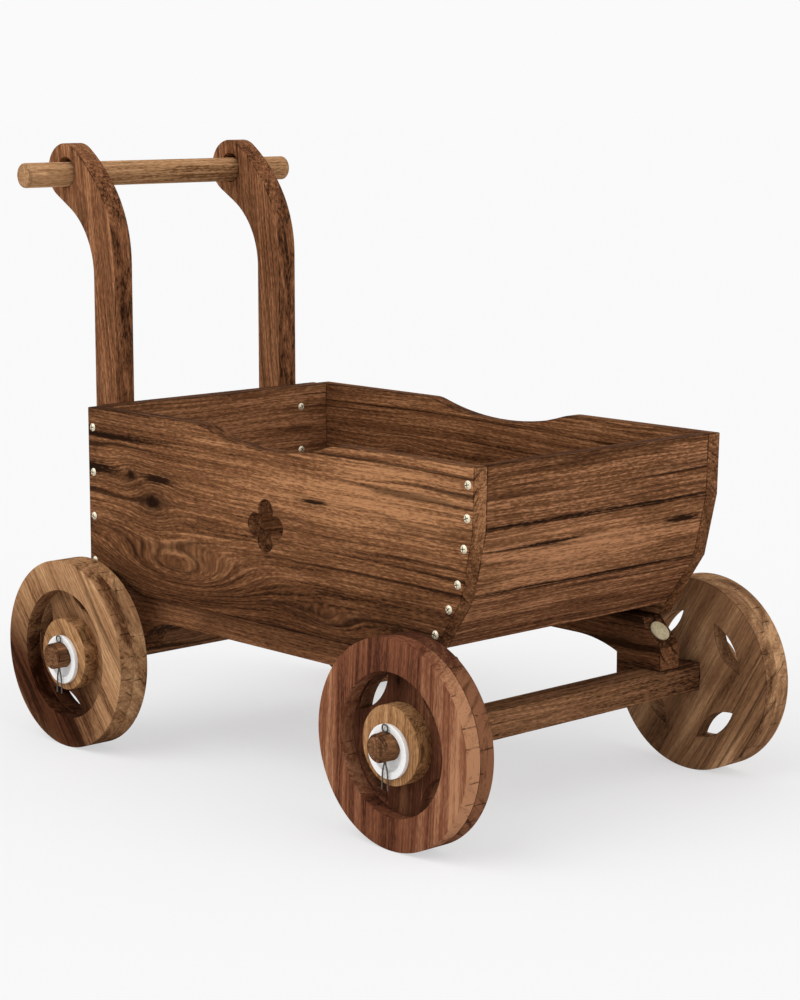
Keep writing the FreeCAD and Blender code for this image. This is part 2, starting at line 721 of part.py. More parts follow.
def floor_screws(batten_start):
    """The screws over one batten: one a side into the bearers, then one in each inner board."""
    x = batten_start + size("batten_width") / 2
    seat_height = FLOOR_TOP - size("screw_recess")
    down = Vector(0, 0, -1)
    screws = []
    for side in SIDES.values():
        screws.append(Screw(Vector(x, side * RAIL_SCREW_Y, seat_height), down, "rail_screw_length"))
    for low in FLOOR_BOARD_SIDES[1:-1]:
        seat = Vector(x, low + FLOOR_WIDTH / 2, seat_height)
        screws.append(Screw(seat, down, "floor_screw_length"))
    return screws


FLOOR_SCREWS = {name: floor_screws(start) for name, start in BATTEN_STARTS.items()}

for name, screws in FLOOR_SCREWS.items():
    batten = make_box(f"floor_batten_{name}", "Sizes.batten_width", BETWEEN_PANELS, "Sizes.batten_thickness")
    batten.Placement.Base = Vector(BATTEN_STARTS[name], -INNER_REACH, BOX_BOTTOM)
    drills = [screw.drill(f"batten_{name}_drill_{place}") for place, screw in enumerate(screws)]
    nodes.append(drilled(batten, drills))

for number, low in enumerate(FLOOR_BOARD_SIDES, start=1):
    board = make_box(f"floor_board_{number}", f"{FLOOR_END - WALL_FRONT} mm", f"{FLOOR_WIDTH} mm",
                     "Sizes.floor_board_thickness")
    board.Placement.Base = Vector(WALL_FRONT, low, BATTEN_TOP)
    drills = []
    for name, screws in FLOOR_SCREWS.items():
        for place, screw in enumerate(screws):
            if low < screw.seat.y < low + FLOOR_WIDTH:
                drills.append(screw.drill(f"floor_{number}_drill_{name}_{place}"))
                drills.append(screw.recess(f"floor_{number}_recess_{name}_{place}"))
    nodes.append(drilled(board, drills))

make_screw_group("floor_screws", [screw for screws in FLOOR_SCREWS.values() for screw in screws])

# ---------------------------------------------------------------- bearers


def draw_rail(sketch):
    """A bridge from beam to beam: notched legs, an arched underside and a sloped front corner."""
    half = size("beam_side") / 2
    front, rear = AXLE_X["front"], AXLE_X["rear"]
    leg = size("rail_leg_reach")
    foot = BEAM_TOP - size("rail_lip")
    under = BOX_BOTTOM - size("rail_depth")
    rear_radius, front_radius = size("rear_arch_radius"), size("front_arch_radius")
    rear_start = rear + size("rear_arch_start")
    front_start = front - size("front_arch_start")
    rear_swing = math.degrees(math.asin((rear_start - rear - leg) / rear_radius))
    front_swing = math.degrees(math.asin((front - leg - front_start) / front_radius))
    shape = Outline(rear - half, BOX_BOTTOM)
    shape.line(front + half - size("rail_slope_length"), BOX_BOTTOM)
    shape.line(front + half, BOX_BOTTOM - size("rail_slope_height"))
    shape.line(front + half, BEAM_TOP).line(front - half, BEAM_TOP).line(front - half, foot)
    shape.line(front - leg, foot)
    shape.sweep(Vector(front_start, under - front_radius, 0), front_radius, 90 - front_swing, 90)
    shape.sweep(Vector(rear_start, under - rear_radius, 0), rear_radius, 90, 90 + rear_swing)
    shape.line(rear + leg, foot).line(rear + half, foot).line(rear + half, BEAM_TOP)
    shape.line(rear - half, BEAM_TOP).line(rear - half, BOX_BOTTOM).draw(sketch)


SLOPE_OUT = across(math.degrees(math.atan2(size("rail_slope_length"), size("rail_slope_height"))))
SLOPE_MIDDLE = Vector(AXLE_X["front"] + size("beam_side") / 2 - size("rail_slope_length") / 2,
                      BOX_BOTTOM - size("rail_slope_height") / 2, 0)

for side_name, side in SIDES.items():
    body = new_body(f"rail_{side_name}")
    sketch = new_sketch(body, f"rail_outline_{side_name}")
    draw_rail(sketch)
    add_pad(body, sketch, "Sizes.rail_thickness")
    body.Placement.Base = Vector(0, RAIL_OUTER if side > 0 else -RAIL_INNER, 0)
    document.recompute()
    outward = Vector(SLOPE_OUT.x, 0, SLOPE_OUT.y)
    seat = Vector(SLOPE_MIDDLE.x, side * RAIL_MIDDLE, SLOPE_MIDDLE.y)
    floor_of_hole = seat - outward * size("plug_depth")
    drills = [make_drill(f"plug_drill_{side_name}", floor_of_hole, outward, 2 * size("plug_depth"),
                         "Sizes.plug_diameter + 2 * Sizes.plug_clearance")]
    for end, axle_x in AXLE_X.items():
        drills.append(beam_screw(axle_x, side).drill(f"rail_beam_drill_{side_name}_{end}"))
    for name, screws in FLOOR_SCREWS.items():
        place = list(SIDES).index(side_name)
        drills.append(screws[place].drill(f"rail_floor_drill_{side_name}_{name}"))
    nodes.append(drilled(body, drills))

    plug = document.addObject("Part::Cylinder", f"plug_round_{side_name}")
    plug.setExpression("Radius", "Sizes.plug_diameter / 2")
    plug.setExpression("Height", "Sizes.plug_depth + Sizes.plug_proud")
    plug.Placement = FreeCAD.Placement(floor_of_hole, FreeCAD.Rotation(Vector(0, 0, 1), outward))
    document.recompute()
    heights = [(edge.CenterOfMass - floor_of_hole).dot(outward) for edge in plug.Shape.Edges]
    top_edge = heights.index(max(heights)) + 1
    eased = document.addObject("Part::Chamfer", f"rail_plug_{side_name}")
    eased.Label = f"rail_plug_{side_name}"
    eased.Base = plug
    eased.Edges = [(top_edge, size("plug_edge_bevel"), size("plug_edge_bevel"))]
    nodes.append(eased)

# ---------------------------------------------------------------- handle


def draw_arm(sketch):
    """A straight post whose neck bends back in tangent arcs into a round head."""
    head = Vector(HEAD_X, HEAD_Z, 0)
    head_radius = size("arm_head_radius")
    back = WALL_BACK - size("arm_post_depth")
    bottom = BOX_BOTTOM + size("arm_foot_rise")
    # The hollow behind is tangent to the upright back and to the slope that meets the head.
    slope = size("arm_rear_slope_angle")
    rear_radius = size("arm_rear_radius")
    run = (back - rear_radius - head.x) * across(slope).x
    rear_drop = (head_radius + rear_radius + run) / across(slope).y
    rear_centre = Vector(back - rear_radius, head.y - rear_drop, 0)
    # The shoulder rolls inside the head, and the neck closes the turn to the upright front.
    start, end = size("arm_shoulder_start_angle"), size("arm_shoulder_end_angle")
    shoulder_radius = size("arm_shoulder_radius")
    shoulder = head - across(end) * (shoulder_radius - head_radius)
    neck_radius = (WALL_BACK - shoulder.x - shoulder_radius * across(start).x) / (1 - across(start).x)
    neck = shoulder + across(start) * (shoulder_radius - neck_radius)
    shape = Outline(WALL_BACK, bottom)
    shape.sweep(neck, neck_radius, 0, start)
    shape.sweep(shoulder, shoulder_radius, start, end)
    shape.sweep(head, head_radius, end, 180 + slope)
    shape.sweep(rear_centre, rear_radius, slope, 0)
    shape.line(back, bottom).line(WALL_BACK, bottom).draw(sketch)


BAR_SCREW_SEAT = HEAD_X - size("arm_head_radius") + size("screw_recess")
bar_screws = []
for side_name, side in SIDES.items():
    body = new_body(f"handle_arm_{side_name}")
    sketch = new_sketch(body, f"arm_outline_{side_name}")
    draw_arm(sketch)
    add_pad(body, sketch, "Sizes.arm_thickness")
    document.recompute()
    sketch = new_sketch(body, f"arm_bar_hole_{side_name}")
    add_circle(sketch, Vector(BAR_HOLE_X, BAR_HOLE_Z, 0), "Sizes.bar_hole_diameter")
    add_cut(body, sketch)
    body.Placement.Base = Vector(0, ARM_OUTER if side > 0 else -ARM_INNER, 0)
    document.recompute()
    screws = ARM_SCREWS[side_name]
    drills = [screw.drill(f"arm_drill_{side_name}_{place}") for place, screw in enumerate(screws)]
    bar_seat = Vector(BAR_SCREW_SEAT, side * ARM_MIDDLE, BAR_Z)
    into_bar = Screw(bar_seat, Vector(1, 0, 0), "bar_screw_length")
    drills.append(into_bar.drill(f"arm_bar_drill_{side_name}"))
    drills.append(into_bar.recess(f"arm_bar_recess_{side_name}"))
    bar_screws.append(into_bar)
    nodes.append(drilled(body, drills))
    make_screw_group(f"arm_screws_{side_name}", screws)

bar = new_body("handle_bar")
sketch = new_sketch(bar, "bar_round")
add_circle(sketch, Vector(), "Sizes.bar_diameter")
rod = add_pad(bar, sketch, f"{2 * BAR_REACH} mm", both_ways=True)
bevel_ends(bar, rod, BAR_REACH, "Sizes.bar_end_chamfer")
bar.Placement.Base = Vector(BAR_HOLE_X, 0, BAR_Z)
document.recompute()
nodes.append(drilled(bar, [screw.drill(f"bar_drill_{place}") for place, screw in enumerate(bar_screws)]))
make_screw_group("bar_screws", bar_screws)

# ---------------------------------------------------------------- checks and files

document.recompute()
for thing in document.Objects:
    if "Invalid" in thing.State or "Error" in thing.State:
        raise ValueError(f"{thing.Name} failed: {thing.State}")
for node in nodes:
    if node.Shape.isNull() or not node.Shape.isValid() or not node.Shape.Solids:
        raise ValueError(f"{node.Label} has no sound solid")

os.makedirs(OUT_FOLDER, exist_ok=True)
for node in nodes:
    node.Shape.exportStep(os.path.join(OUT_FOLDER, node.Label + ".step"))
whole = FreeCAD.BoundBox()
for node in nodes:
    whole.add(node.Shape.BoundBox)
print(len(nodes), "nodes,", sum(len(node.Shape.Solids) for node in nodes), "solids")
low = [round(value, 2) for value in (whole.XMin, whole.YMin, whole.ZMin)]
high = [round(value, 2) for value in (whole.XMax, whole.YMax, whole.ZMax)]
print("from", low, "to", high)
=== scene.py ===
import json
import logging
import math
from collections.abc import Callable, Iterable, Iterator
from dataclasses import dataclass, field
from enum import Enum

import bmesh
import bpy
from mathutils import Euler, Matrix, Vector

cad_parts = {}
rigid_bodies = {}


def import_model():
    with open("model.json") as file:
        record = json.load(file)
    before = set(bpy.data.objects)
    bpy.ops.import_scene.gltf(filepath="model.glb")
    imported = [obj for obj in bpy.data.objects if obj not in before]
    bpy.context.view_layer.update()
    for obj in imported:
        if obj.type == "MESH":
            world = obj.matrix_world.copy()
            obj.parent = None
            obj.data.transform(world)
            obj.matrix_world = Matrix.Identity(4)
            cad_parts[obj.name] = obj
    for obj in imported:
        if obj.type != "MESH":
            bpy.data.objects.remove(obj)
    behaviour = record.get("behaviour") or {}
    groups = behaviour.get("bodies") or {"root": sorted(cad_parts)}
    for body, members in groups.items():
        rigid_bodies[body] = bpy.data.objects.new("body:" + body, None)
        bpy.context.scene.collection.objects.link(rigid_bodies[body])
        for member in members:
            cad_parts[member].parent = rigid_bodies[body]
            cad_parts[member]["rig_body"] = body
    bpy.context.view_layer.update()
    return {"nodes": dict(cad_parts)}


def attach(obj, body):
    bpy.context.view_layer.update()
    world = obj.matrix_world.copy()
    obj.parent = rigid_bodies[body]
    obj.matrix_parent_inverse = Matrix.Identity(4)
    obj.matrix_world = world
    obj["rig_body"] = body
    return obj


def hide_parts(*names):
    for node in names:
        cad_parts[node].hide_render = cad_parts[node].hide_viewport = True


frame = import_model()

# The looks of a four-wheeled burnt-wood cart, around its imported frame. Metres, the frame's axes:
# +X is the raked front, +Y the left side, +Z up.

logging.basicConfig(level=logging.INFO, format="%(message)s")
report = logging.getLogger("cart")

Triple = tuple[float, float, float]
Colour = tuple[float, float, float, float]

WIDE_SOCKETS = ("VECTOR", "RGBA")
WHITE: Colour = (1.0, 1.0, 1.0, 1.0)
EDGE_ATTRIBUTE = "edge"
SHARP_ANGLE = math.radians(30)
FLAT_ANGLE = math.radians(0.4)
MERGE_DISTANCE = 1e-6
LEAST_CHAIN = 0.016
AXLE_HEIGHT = 0.095
RING_SMOOTH = math.radians(38)
SCREW_SMOOTH = math.radians(25)
WIRE_SMOOTH = math.radians(45)
EDGE_STEPS = 3
HEAD_SIDES = 28
SHANK_SIDES = 16


# ---------------------------------------------------------------- named choices


class Side(Enum):
    """The two sides of the cart, by the sign of y."""

    LEFT = 1
    RIGHT = -1

    @property
    def word(self) -> str:
        """The side's word in a node's name."""
        return self.name.lower()


class End(Enum):
    """The two axles, by the x of their middles."""

    FRONT = 0.26625
    REAR = -0.21825

    @property
    def word(self) -> str:
        """The axle's word in a node's name."""
        return self.name.lower()


class Kind(Enum):
    """The socket kinds that node groups use."""

    NUMBER = "NodeSocketFloat"
    WHOLE = "NodeSocketInt"
    VECTOR = "NodeSocketVector"
    COLOUR = "NodeSocketColor"
    MATERIAL = "NodeSocketMaterial"
    GEOMETRY = "NodeSocketGeometry"


# ---------------------------------------------------------------- wiring


def linear(red: float, green: float, blue: float) -> Colour:
    """A colour given in the 0 to 255 values of a screen.

    Args:
        red: The red value.
        green: The green value.
        blue: The blue value.

    Returns:
        The colour in linear light, opaque.
    """
    parts = []
    for value in (red, green, blue):
        share = value / 255
        parts.append(share / 12.92 if share <= 0.04045 else ((share + 0.055) / 1.055) ** 2.4)
    return (parts[0], parts[1], parts[2], 1.0)


class Value:
    """One output in a node tree. Plain arithmetic on it adds the nodes that work it out."""

    def __init__(self, graph: "Graph", socket: bpy.types.NodeSocket) -> None:
        """Keeps the graph and the socket."""
        self.graph = graph
        self.socket = socket

    def _work(self, operation: str, first: "Feed", second: "Feed") -> "Value":
        """Adds a Vector Math node where either part is a vector, else a Math node.

        Args:
            operation: The node's operation.
            first: The first part.
            second: The second part.

        Returns:
            The result.
        """
        wide = any(isinstance(part, tuple) or (isinstance(part, Value) and part.socket.type in WIDE_SOCKETS)
                   for part in (first, second))
        return (self.graph.vector if wide else self.graph.math)(operation, first, second)

    def __add__(self, other: "Feed") -> "Value":
        """This and the other, added."""
        return self._work("ADD", self, other)

    def __radd__(self, other: "Feed") -> "Value":
        """The other and this, added."""
        return self._work("ADD", other, self)

    def __sub__(self, other: "Feed") -> "Value":
        """This less the other."""
        return self._work("SUBTRACT", self, other)

    def __rsub__(self, other: "Feed") -> "Value":
        """The other less this."""
        return self._work("SUBTRACT", other, self)

    def __mul__(self, other: "Feed") -> "Value":
        """This times the other."""
        return self._work("MULTIPLY", self, other)

    def __truediv__(self, other: "Feed") -> "Value":
        """This over the other."""
        return self._work("DIVIDE", self, other)

    def __rtruediv__(self, other: "Feed") -> "Value":
        """The other over this."""
        return self._work("DIVIDE", other, self)

    def __pow__(self, power: float) -> "Value":
        """This to a power."""
        return self.graph.math("POWER", self, power)

    def __abs__(self) -> "Value":
        """This without its sign."""
        return self.graph.math("ABSOLUTE", self)


Feed = Value | bpy.types.NodeSocket | float | Triple | Colour
Inputs = dict[str, tuple[Kind, Feed | None]]
Feeds = dict[str | int, Feed]


class Graph:
    """A node tree being wired, with short ways to add the nodes that it needs."""

    def __init__(self, tree: bpy.types.NodeTree) -> None:
        """Keeps the tree to wire."""
        self.tree = tree

    def feed(self, socket: bpy.types.NodeSocket, value: Feed) -> None:
        """Links a socket to another, or sets its value.

        Args:
            socket: The input socket.
            value: An output to link, or a plain value.
        """
        if isinstance(value, Value):
            value = value.socket
        if isinstance(value, bpy.types.NodeSocket):
            self.tree.links.new(value, socket)
        else:
            socket.default_value = value

    def add(self, kind: str, feeds: Feeds | None = None, **settings: object) -> bpy.types.Node:
        """Adds a node.

        Args:
            kind: The node's type.
            feeds: What each input takes, by name or place.
            **settings: The node's own properties.

        Returns:
            The new node.
        """
        node = self.tree.nodes.new(kind)
        for name, value in settings.items():
            setattr(node, name, value)
        for name, value in (feeds or {}).items():
            self.feed(node.inputs[name], value)
        return node

    def made(self, kind: str, feeds: Feeds | None = None, output: str | int = 0, **settings: object) -> Value:
        """Adds a node, as add does, and takes one of its outputs."""
        return Value(self, self.add(kind, feeds, **settings).outputs[output])

    def math(self, operation: str, first: Feed, second: Feed = 0.0) -> Value:
        """The result of a Math node on one or two numbers."""
        return self.made("ShaderNodeMath", {0: first, 1: second}, operation=operation)

    def vector(self, operation: str, first: Feed, second: Feed = (0.0, 0.0, 0.0)) -> Value:
        """The result of a Vector Math node on two vectors."""
        output = "Value" if operation in ("LENGTH", "DOT_PRODUCT") else 0
        return self.made("ShaderNodeVectorMath", {0: first, 1: second}, output, operation=operation)

    def larger(self, first: Feed, second: Feed) -> Value:
        """The larger of two numbers."""
        return self.math("MAXIMUM", first, second)

    def smaller(self, first: Feed, second: Feed) -> Value:
        """The smaller of two numbers."""
        return self.math("MINIMUM", first, second)

    def split(self, vector: Feed) -> list[Value]:
        """The three parts of a vector."""
        return [Value(self, part) for part in self.add("ShaderNodeSeparateXYZ", {0: vector}).outputs]

    def join(self, x: Feed, y: Feed, z: Feed) -> Value:
        """A vector from its three parts."""
        return self.made("ShaderNodeCombineXYZ", {0: x, 1: y, 2: z})

    def noise(self, vector: Feed, scale: Feed = 1.0, detail: float = 2.0, roughness: float = 0.5,
              colour: bool = False) -> Value:
        """A noise over a vector.

        Args:
            vector: Where the noise is read.
            scale: How fine it is.
            detail: How many octaves it adds.
            roughness: How strong the finer octaves are.
            colour: Whether the three-part output is wanted.

        Returns:
            The noise.
        """
        feeds = {"Vector": vector, "Scale": scale, "Detail": detail, "Roughness": roughness}
        output = "Color" if colour else "Fac"
        return self.made("ShaderNodeTexNoise", feeds, output, noise_dimensions="3D")

    def chance(self, number: Feed) -> Value:
        """A random share for each whole number."""
        return self.made("ShaderNodeTexWhiteNoise", {"W": number}, "Value", noise_dimensions="1D")

    def rise(self, value: Feed, low: float, high: float) -> Value:
        """A smooth step.

        Args:
            value: What is stepped.
            low: Where the step leaves nought.
            high: Where it reaches one.

        Returns:
            The step.
        """
        feeds = {"Value": value, "From Min": low, "From Max": high, "To Min": 0.0, "To Max": 1.0}
        return self.made("ShaderNodeMapRange", feeds, "Result", interpolation_type="SMOOTHSTEP")

    def mix(self, share: Feed, first: Feed, second: Feed, blend: str = "MIX") -> Value:
        """A mix of two colours.

        Args:
            share: How much of the second there is.
            first: The first colour.
            second: The second colour.
            blend: How the second is laid on the first.

        Returns:
            The mixed colour.
        """
        return self.made("ShaderNodeMix", {0: share, 6: first, 7: second}, 2, data_type="RGBA",
                         blend_type=blend, clamp_factor=True)

    def bell(self, squared: Value) -> Value:
        """e to the power of minus a squared distance."""
        return self.math("EXPONENT", squared * -1.0)

    def oval(self, place: Value, centre: Value, reach: Value) -> Value:
        """A soft oval: one at its centre, fading over its reach."""
        share = (place - centre) / reach
        return self.bell(self.vector("DOT_PRODUCT", share, share))


def open_group(name: str, kind: str, inputs: Inputs,
               outputs: dict[str, Kind]) -> tuple[Graph, dict[str, Value], bpy.types.Node]:
    """Starts a node group with named sockets.

    Args:
        name: The group's name.
        kind: The type of its tree.
        inputs: Each input's kind and default.
        outputs: Each output's kind.

    Returns:
        The graph to wire, the inputs by name, and the output node.
    """
    tree = bpy.data.node_groups.new(name, kind)
    for label, (socket_kind, default) in inputs.items():
        socket = tree.interface.new_socket(name=label, in_out="INPUT", socket_type=socket_kind.value)
        if default is not None:
            socket.default_value = default
    for label, socket_kind in outputs.items():
        tree.interface.new_socket(name=label, in_out="OUTPUT", socket_type=socket_kind.value)
    graph = Graph(tree)
    entry = graph.add("NodeGroupInput")
    take = {label: Value(graph, entry.outputs[label]) for label in inputs}
    return graph, take, graph.add("NodeGroupOutput")


# ---------------------------------------------------------------- shader groups


@dataclass(frozen=True)
class Pattern:
    """A noise over a board: how it is drawn out, and where its mask starts and ends, if it is one."""

    stretch: Triple
    low: float = 0.0
    high: float = 0.0
    detail: float = 2.0
    roughness: float = 0.5
    seeds: float = 1.0

    def over(self, g: Graph, place: Value, seed: Value) -> Value:
        """Lays the pattern over a board.

        Args:
            g: The group's graph.
            place: The place in the board.
            seed: The board's own shift, taken as often as the pattern says.

        Returns:
            The mask, or the bare noise.
        """
        spot = place * self.stretch
        if self.seeds > 0:
            spot = spot + (seed if self.seeds == 1 else seed * ((self.seeds,) * 3))
        cloud = g.noise(spot, 1.0, self.detail, self.roughness)
        return g.rise(cloud, self.low, self.high) if self.high > self.low else cloud


class Grain:
    """The groups that every wooden finish shares: its figure, its colour, its worn edges and its cracks."""

    MASKS = ("Rings", "Streaks", "Fibre", "Burn", "Seam", "Pores", "Mottle", "Knot", "End", "Flank", "Shade")
    KNOT_COUNT = 2
    FIGURE_COUNT = 2
    SMUDGE_COUNT = 4
    PATCH_COUNT = 4
    FAR_OFF: Triple = (9.0, 9.0, 0.0)

    # How the lines wander: the slow bends, the quick flutter on them, and the board's own shift.
    SLOW_STRETCH: Triple = (1.0, 3.2, 0.8)
    QUICK_STRETCH: Triple = (1.0, 2.2, 0.5)
    QUICK_RATE = 5.0
    FLUTTER: Triple = (0.0, 0.15, 0.15)
    SEED_SHIFT: Triple = (1.73, 0.91, 2.37)

    # The noises, drawn out along the grain.
    DRIFT = Pattern((2.0, 30.0, 9.0))
    FADE = Pattern((6.0, 26.0, 26.0), 0.3, 0.62)
    STREAKS = Pattern((2.0, 1.0, 40.0), 0.27, 0.73, 4.0, 0.66)
    THICK_FIBRE = Pattern((9.0, 460.0, 210.0), 0.28, 0.72, 2.0, 0.6)
    THIN_FIBRE = Pattern((150.0, 720.0, 720.0), 0.28, 0.72, 1.0, 0.6, seeds=0.0)
    SMOKE = Pattern((2.6, 60.0, 20.0), 0.56, 0.76, 3.0, 0.62, seeds=2.0)
    THREADS = Pattern((1.8, 230.0, 25.0), 0.61, 0.72, seeds=3.0)
    PORES = Pattern((85.0, 1500.0, 420.0), 0.66, 0.8, 0.0, seeds=0.0)
    MOTTLE = Pattern((5.0, 11.0, 11.0), detail=3.0)

    # A knot, in shares of its radius: the pull on the lines, the ragged rim, the ripples and the halo.
    KNOT_SQUEEZE: Triple = (0.62, 1.0, 0.35)
    KNOT_PULL = 0.9
    KNOT_PULL_RATE = 0.42
    KNOT_RAGGED = 0.9
    KNOT_RAGGED_SCALE = 190.0
    KNOT_RIM = (0.95, 1.6)
    KNOT_RIPPLES = 11.0
    KNOT_RIPPLE = 0.07
    HALO_RATE = 0.5
    HALO_DEPTH = 0.62

    # A growth ring: how far it drifts, how sharp its dark side is, and how uneven the rings are.
    RING_DRIFT = 1.1
    RING_SHARPNESS = 5.0
    RING_END = (0.92, 1.0)
    RING_SEED = 3.1
    FAINTEST_RING = 0.3
    FAINTEST_STRETCH = 0.35

    THICK_SHARE = 0.55
    SMUDGE_DEPTH = 1.9
    SMUDGE_TEAR = -1.2
    SMUDGE_LIMIT = 0.96
    END_STEP = (0.6, 0.95)
    FACE_STEP = (0.3, 0.7)

    # How the masks colour the wood, and how they raise, sink and dull it.
    MIDDLE_STEP = (0.02, 0.5)
    LIGHT_STEP = (0.42, 1.0)
    # The patches paint broad shade into the colour: how far a dark patch lowers the tone, and the colour it
    # multiplies by.
    PATCH_TONE = 0.3
    PATCH_TINT: Colour = (0.2, 0.13, 0.12, 1.0)
    BURN_COVER = 0.85
    SEAM_COVER = 0.25
    SEAM_CHAR = 0.6
    PORE_COVER = 0.35
    END_COVER = 0.15
    RING_DIP = 0.45
    BURN_DIP = 0.35
    SEAM_DIP = 0.9
    PORE_DIP = 0.35
    FIBRE_RISE = 0.55
    RING_GLOSS = -0.12
    FIBRE_GLOSS = 0.16

    # The broken line on the edges, and the checks across a tread.
    EDGE_SCALE = 55.0
    EDGE_STEP = (0.36, 0.6)
    CRACK_WOBBLE = 0.09
    CRACK_WOBBLE_SCALE = 120.0
    CRACK_LEEWAY = 0.5
    CRACK_WIDTH = (0.012, 0.034)
    CRACK_REACH = 90.0
    CRACK_STEP = (0.42, 0.58)
    TREAD_STEP = (0.2, 0.6)

    def __init__(self) -> None:
        """Builds the four groups once."""
        self.figure = self._figure()
        self.colour = self._colour()
        self.edge = self._edge()
        self.cracks = self._cracks()

    def _inputs(self) -> Inputs:
        """The figure group's inputs. A knot or spot that a board lacks lies far off it.

        Returns:
            Each input's kind and default.
        """
        inputs: Inputs = {
            "Vector": (Kind.VECTOR, None),
            "Normal": (Kind.VECTOR, None),
            "Seed": (Kind.NUMBER, 0.0),
            "Ring Spacing": (Kind.NUMBER, 0.006),
            "Heart Depth": (Kind.NUMBER, 0.06),
            "Heart Shift": (Kind.NUMBER, 0.0),
            "Wander": (Kind.NUMBER, 0.008),
            "Wander Length": (Kind.NUMBER, 0.25),
            "Streak Count": (Kind.NUMBER, 150.0),
        }
        spots = (("Knot", self.KNOT_COUNT), ("Figure", self.FIGURE_COUNT), ("Smudge", self.SMUDGE_COUNT),
                 ("Patch", self.PATCH_COUNT))
        for word, count in spots:
            for place in range(count):
                inputs[f"{word} {place}"] = (Kind.VECTOR, self.FAR_OFF)
                if word == "Knot":
                    inputs[f"{word} {place} Radius"] = (Kind.NUMBER, 0.001)
                    continue
                inputs[f"{word} {place} Reach"] = (Kind.VECTOR, (0.1, 0.03, 1.0))
                if word != "Smudge":
                    inputs[f"{word} {place} Height"] = (Kind.NUMBER, 0.0)
        return inputs

    def _bends(self, g: Graph, take: dict[str, Value], seed: Value) -> tuple[Value, Value]:
        """Bends the lines, as they wander in a real board.

        Args:
            g: The group's graph.
            take: Its inputs.
            seed: The board's own shift.

        Returns:
            The place after the whole bend, and after the flutter alone.
        """
        rate = 1.0 / take["Wander Length"]
        half = (0.5, 0.5, 0.5)
        broad = g.noise(take["Vector"] * self.SLOW_STRETCH + seed, rate, 1.0, colour=True)
        tight = g.noise(take["Vector"] * self.QUICK_STRETCH + seed, rate * self.QUICK_RATE, 2.0, colour=True)
        flutter = (tight - half) * self.FLUTTER
        reach = take["Wander"] * 2.0
        sideways = g.join(0.0, reach, reach)
        return take["Vector"] + (broad - half + flutter) * sideways, take["Vector"] + flutter * sideways

    def _knots(self, g: Graph, take: dict[str, Value], bent: Value, height: Value) -> tuple[Value, Value]:
        """Draws the knots, and pulls the lines round them.

        Args:
            g: The group's graph.
            take: Its inputs.
            bent: The place after the bends.
            height: The place across the face.

        Returns:
            The place across the face after the pull, and the knots' mask.
        """
        knot: Feed = 0.0
        for place in range(self.KNOT_COUNT):
            centre = take[f"Knot {place}"]
            distance = g.vector("LENGTH", (bent - centre) * self.KNOT_SQUEEZE)
            share = distance / take[f"Knot {place} Radius"]
            pull = g.bell((share * self.KNOT_PULL_RATE) ** 2.0)
            height = height - (height - g.split(centre)[1]) * (pull * self.KNOT_PULL)
            ragged = share + g.noise(bent, self.KNOT_RAGGED_SCALE, 2.0) * self.KNOT_RAGGED
            core = 1.0 - g.rise(ragged, *self.KNOT_RIM)
            ripple = g.math("SINE", ragged * self.KNOT_RIPPLES)
            core = core * (ripple * self.KNOT_RIPPLE + (1.0 - self.KNOT_RIPPLE))
            halo = g.bell((share * self.HALO_RATE) ** 2.0) * self.HALO_DEPTH
            knot = g.larger(knot, g.larger(core, halo))
        return height, knot

    def _rings(self, g: Graph, take: dict[str, Value], bent: Value, radius: Value, seed: Value) -> Value:
        """Draws the growth rings, each with its own strength.

        Args:
            g: The group's graph.
            take: Its inputs.
            bent: The place after the bends.
            radius: The distance from the tree's heart.
            seed: The board's own shift.

        Returns:
            The rings' mask.
        """
        turn = radius / take["Ring Spacing"] + self.DRIFT.over(g, bent, seed) * self.RING_DRIFT
        phase = g.math("FRACT", turn)
        line = phase ** self.RING_SHARPNESS * (1.0 - g.rise(phase, *self.RING_END))
        chance = g.chance(g.math("FLOOR", turn) + take["Seed"] * self.RING_SEED)
        strength = chance * (1.0 - self.FAINTEST_RING) + self.FAINTEST_RING
        fade = self.FADE.over(g, bent, seed) * (1.0 - self.FAINTEST_STRETCH) + self.FAINTEST_STRETCH
        return line * strength * fade

    def _figure(self) -> bpy.types.NodeTree:
        """The growth rings, fibres, knots and burnt streaks of a board, with its patches of painted shade and
        light, in the grain's own axes.

        Returns:
            The group. Its vector runs along the grain, across the face and out of it.
        """
        outputs = {name: Kind.NUMBER for name in self.MASKS}
        g, take, out = open_group("wood_figure", "ShaderNodeTree", self._inputs(), outputs)
        seed = g.join(*(take["Seed"] * shift for shift in self.SEED_SHIFT))
        bent, near = self._bends(g, take, seed)
        along, height, depth = g.split(bent)
        height, knot = self._knots(g, take, bent, height)
        for place in range(self.FIGURE_COUNT):
            hill = g.oval(bent, take[f"Figure {place}"], take[f"Figure {place} Reach"])
            height = height + hill * take[f"Figure {place} Height"]

        level = height - take["Heart Shift"]
        inward = depth + take["Heart Depth"]
        radius = g.math("SQRT", level * level + inward * inward)
        contour = g.join(along, radius * take["Streak Count"], depth)
        across = g.join(along, height, depth)
        turned = g.join(along, radius, depth)
        thick = self.THICK_FIBRE.over(g, across, seed)
        thin = self.THIN_FIBRE.over(g, across, seed)
        fibre = thick * self.THICK_SHARE + thin * (1.0 - self.THICK_SHARE)
        for place in range(self.SMUDGE_COUNT):
            spot = g.oval(near, take[f"Smudge {place}"], take[f"Smudge {place} Reach"])
            torn = spot * (fibre * self.SMUDGE_TEAR + self.SMUDGE_DEPTH)
            knot = g.larger(knot, g.smaller(torn, self.SMUDGE_LIMIT))
        # Painted shade and light: broad soft patches, summed into the Shade mask, darken the wood where their
        # height is positive and lighten it where it is negative.
        shade: Feed = 0.0
        for place in range(self.PATCH_COUNT):
            spot = g.oval(bent, take[f"Patch {place}"], take[f"Patch {place} Reach"])
            shade = shade + spot * take[f"Patch {place} Height"]

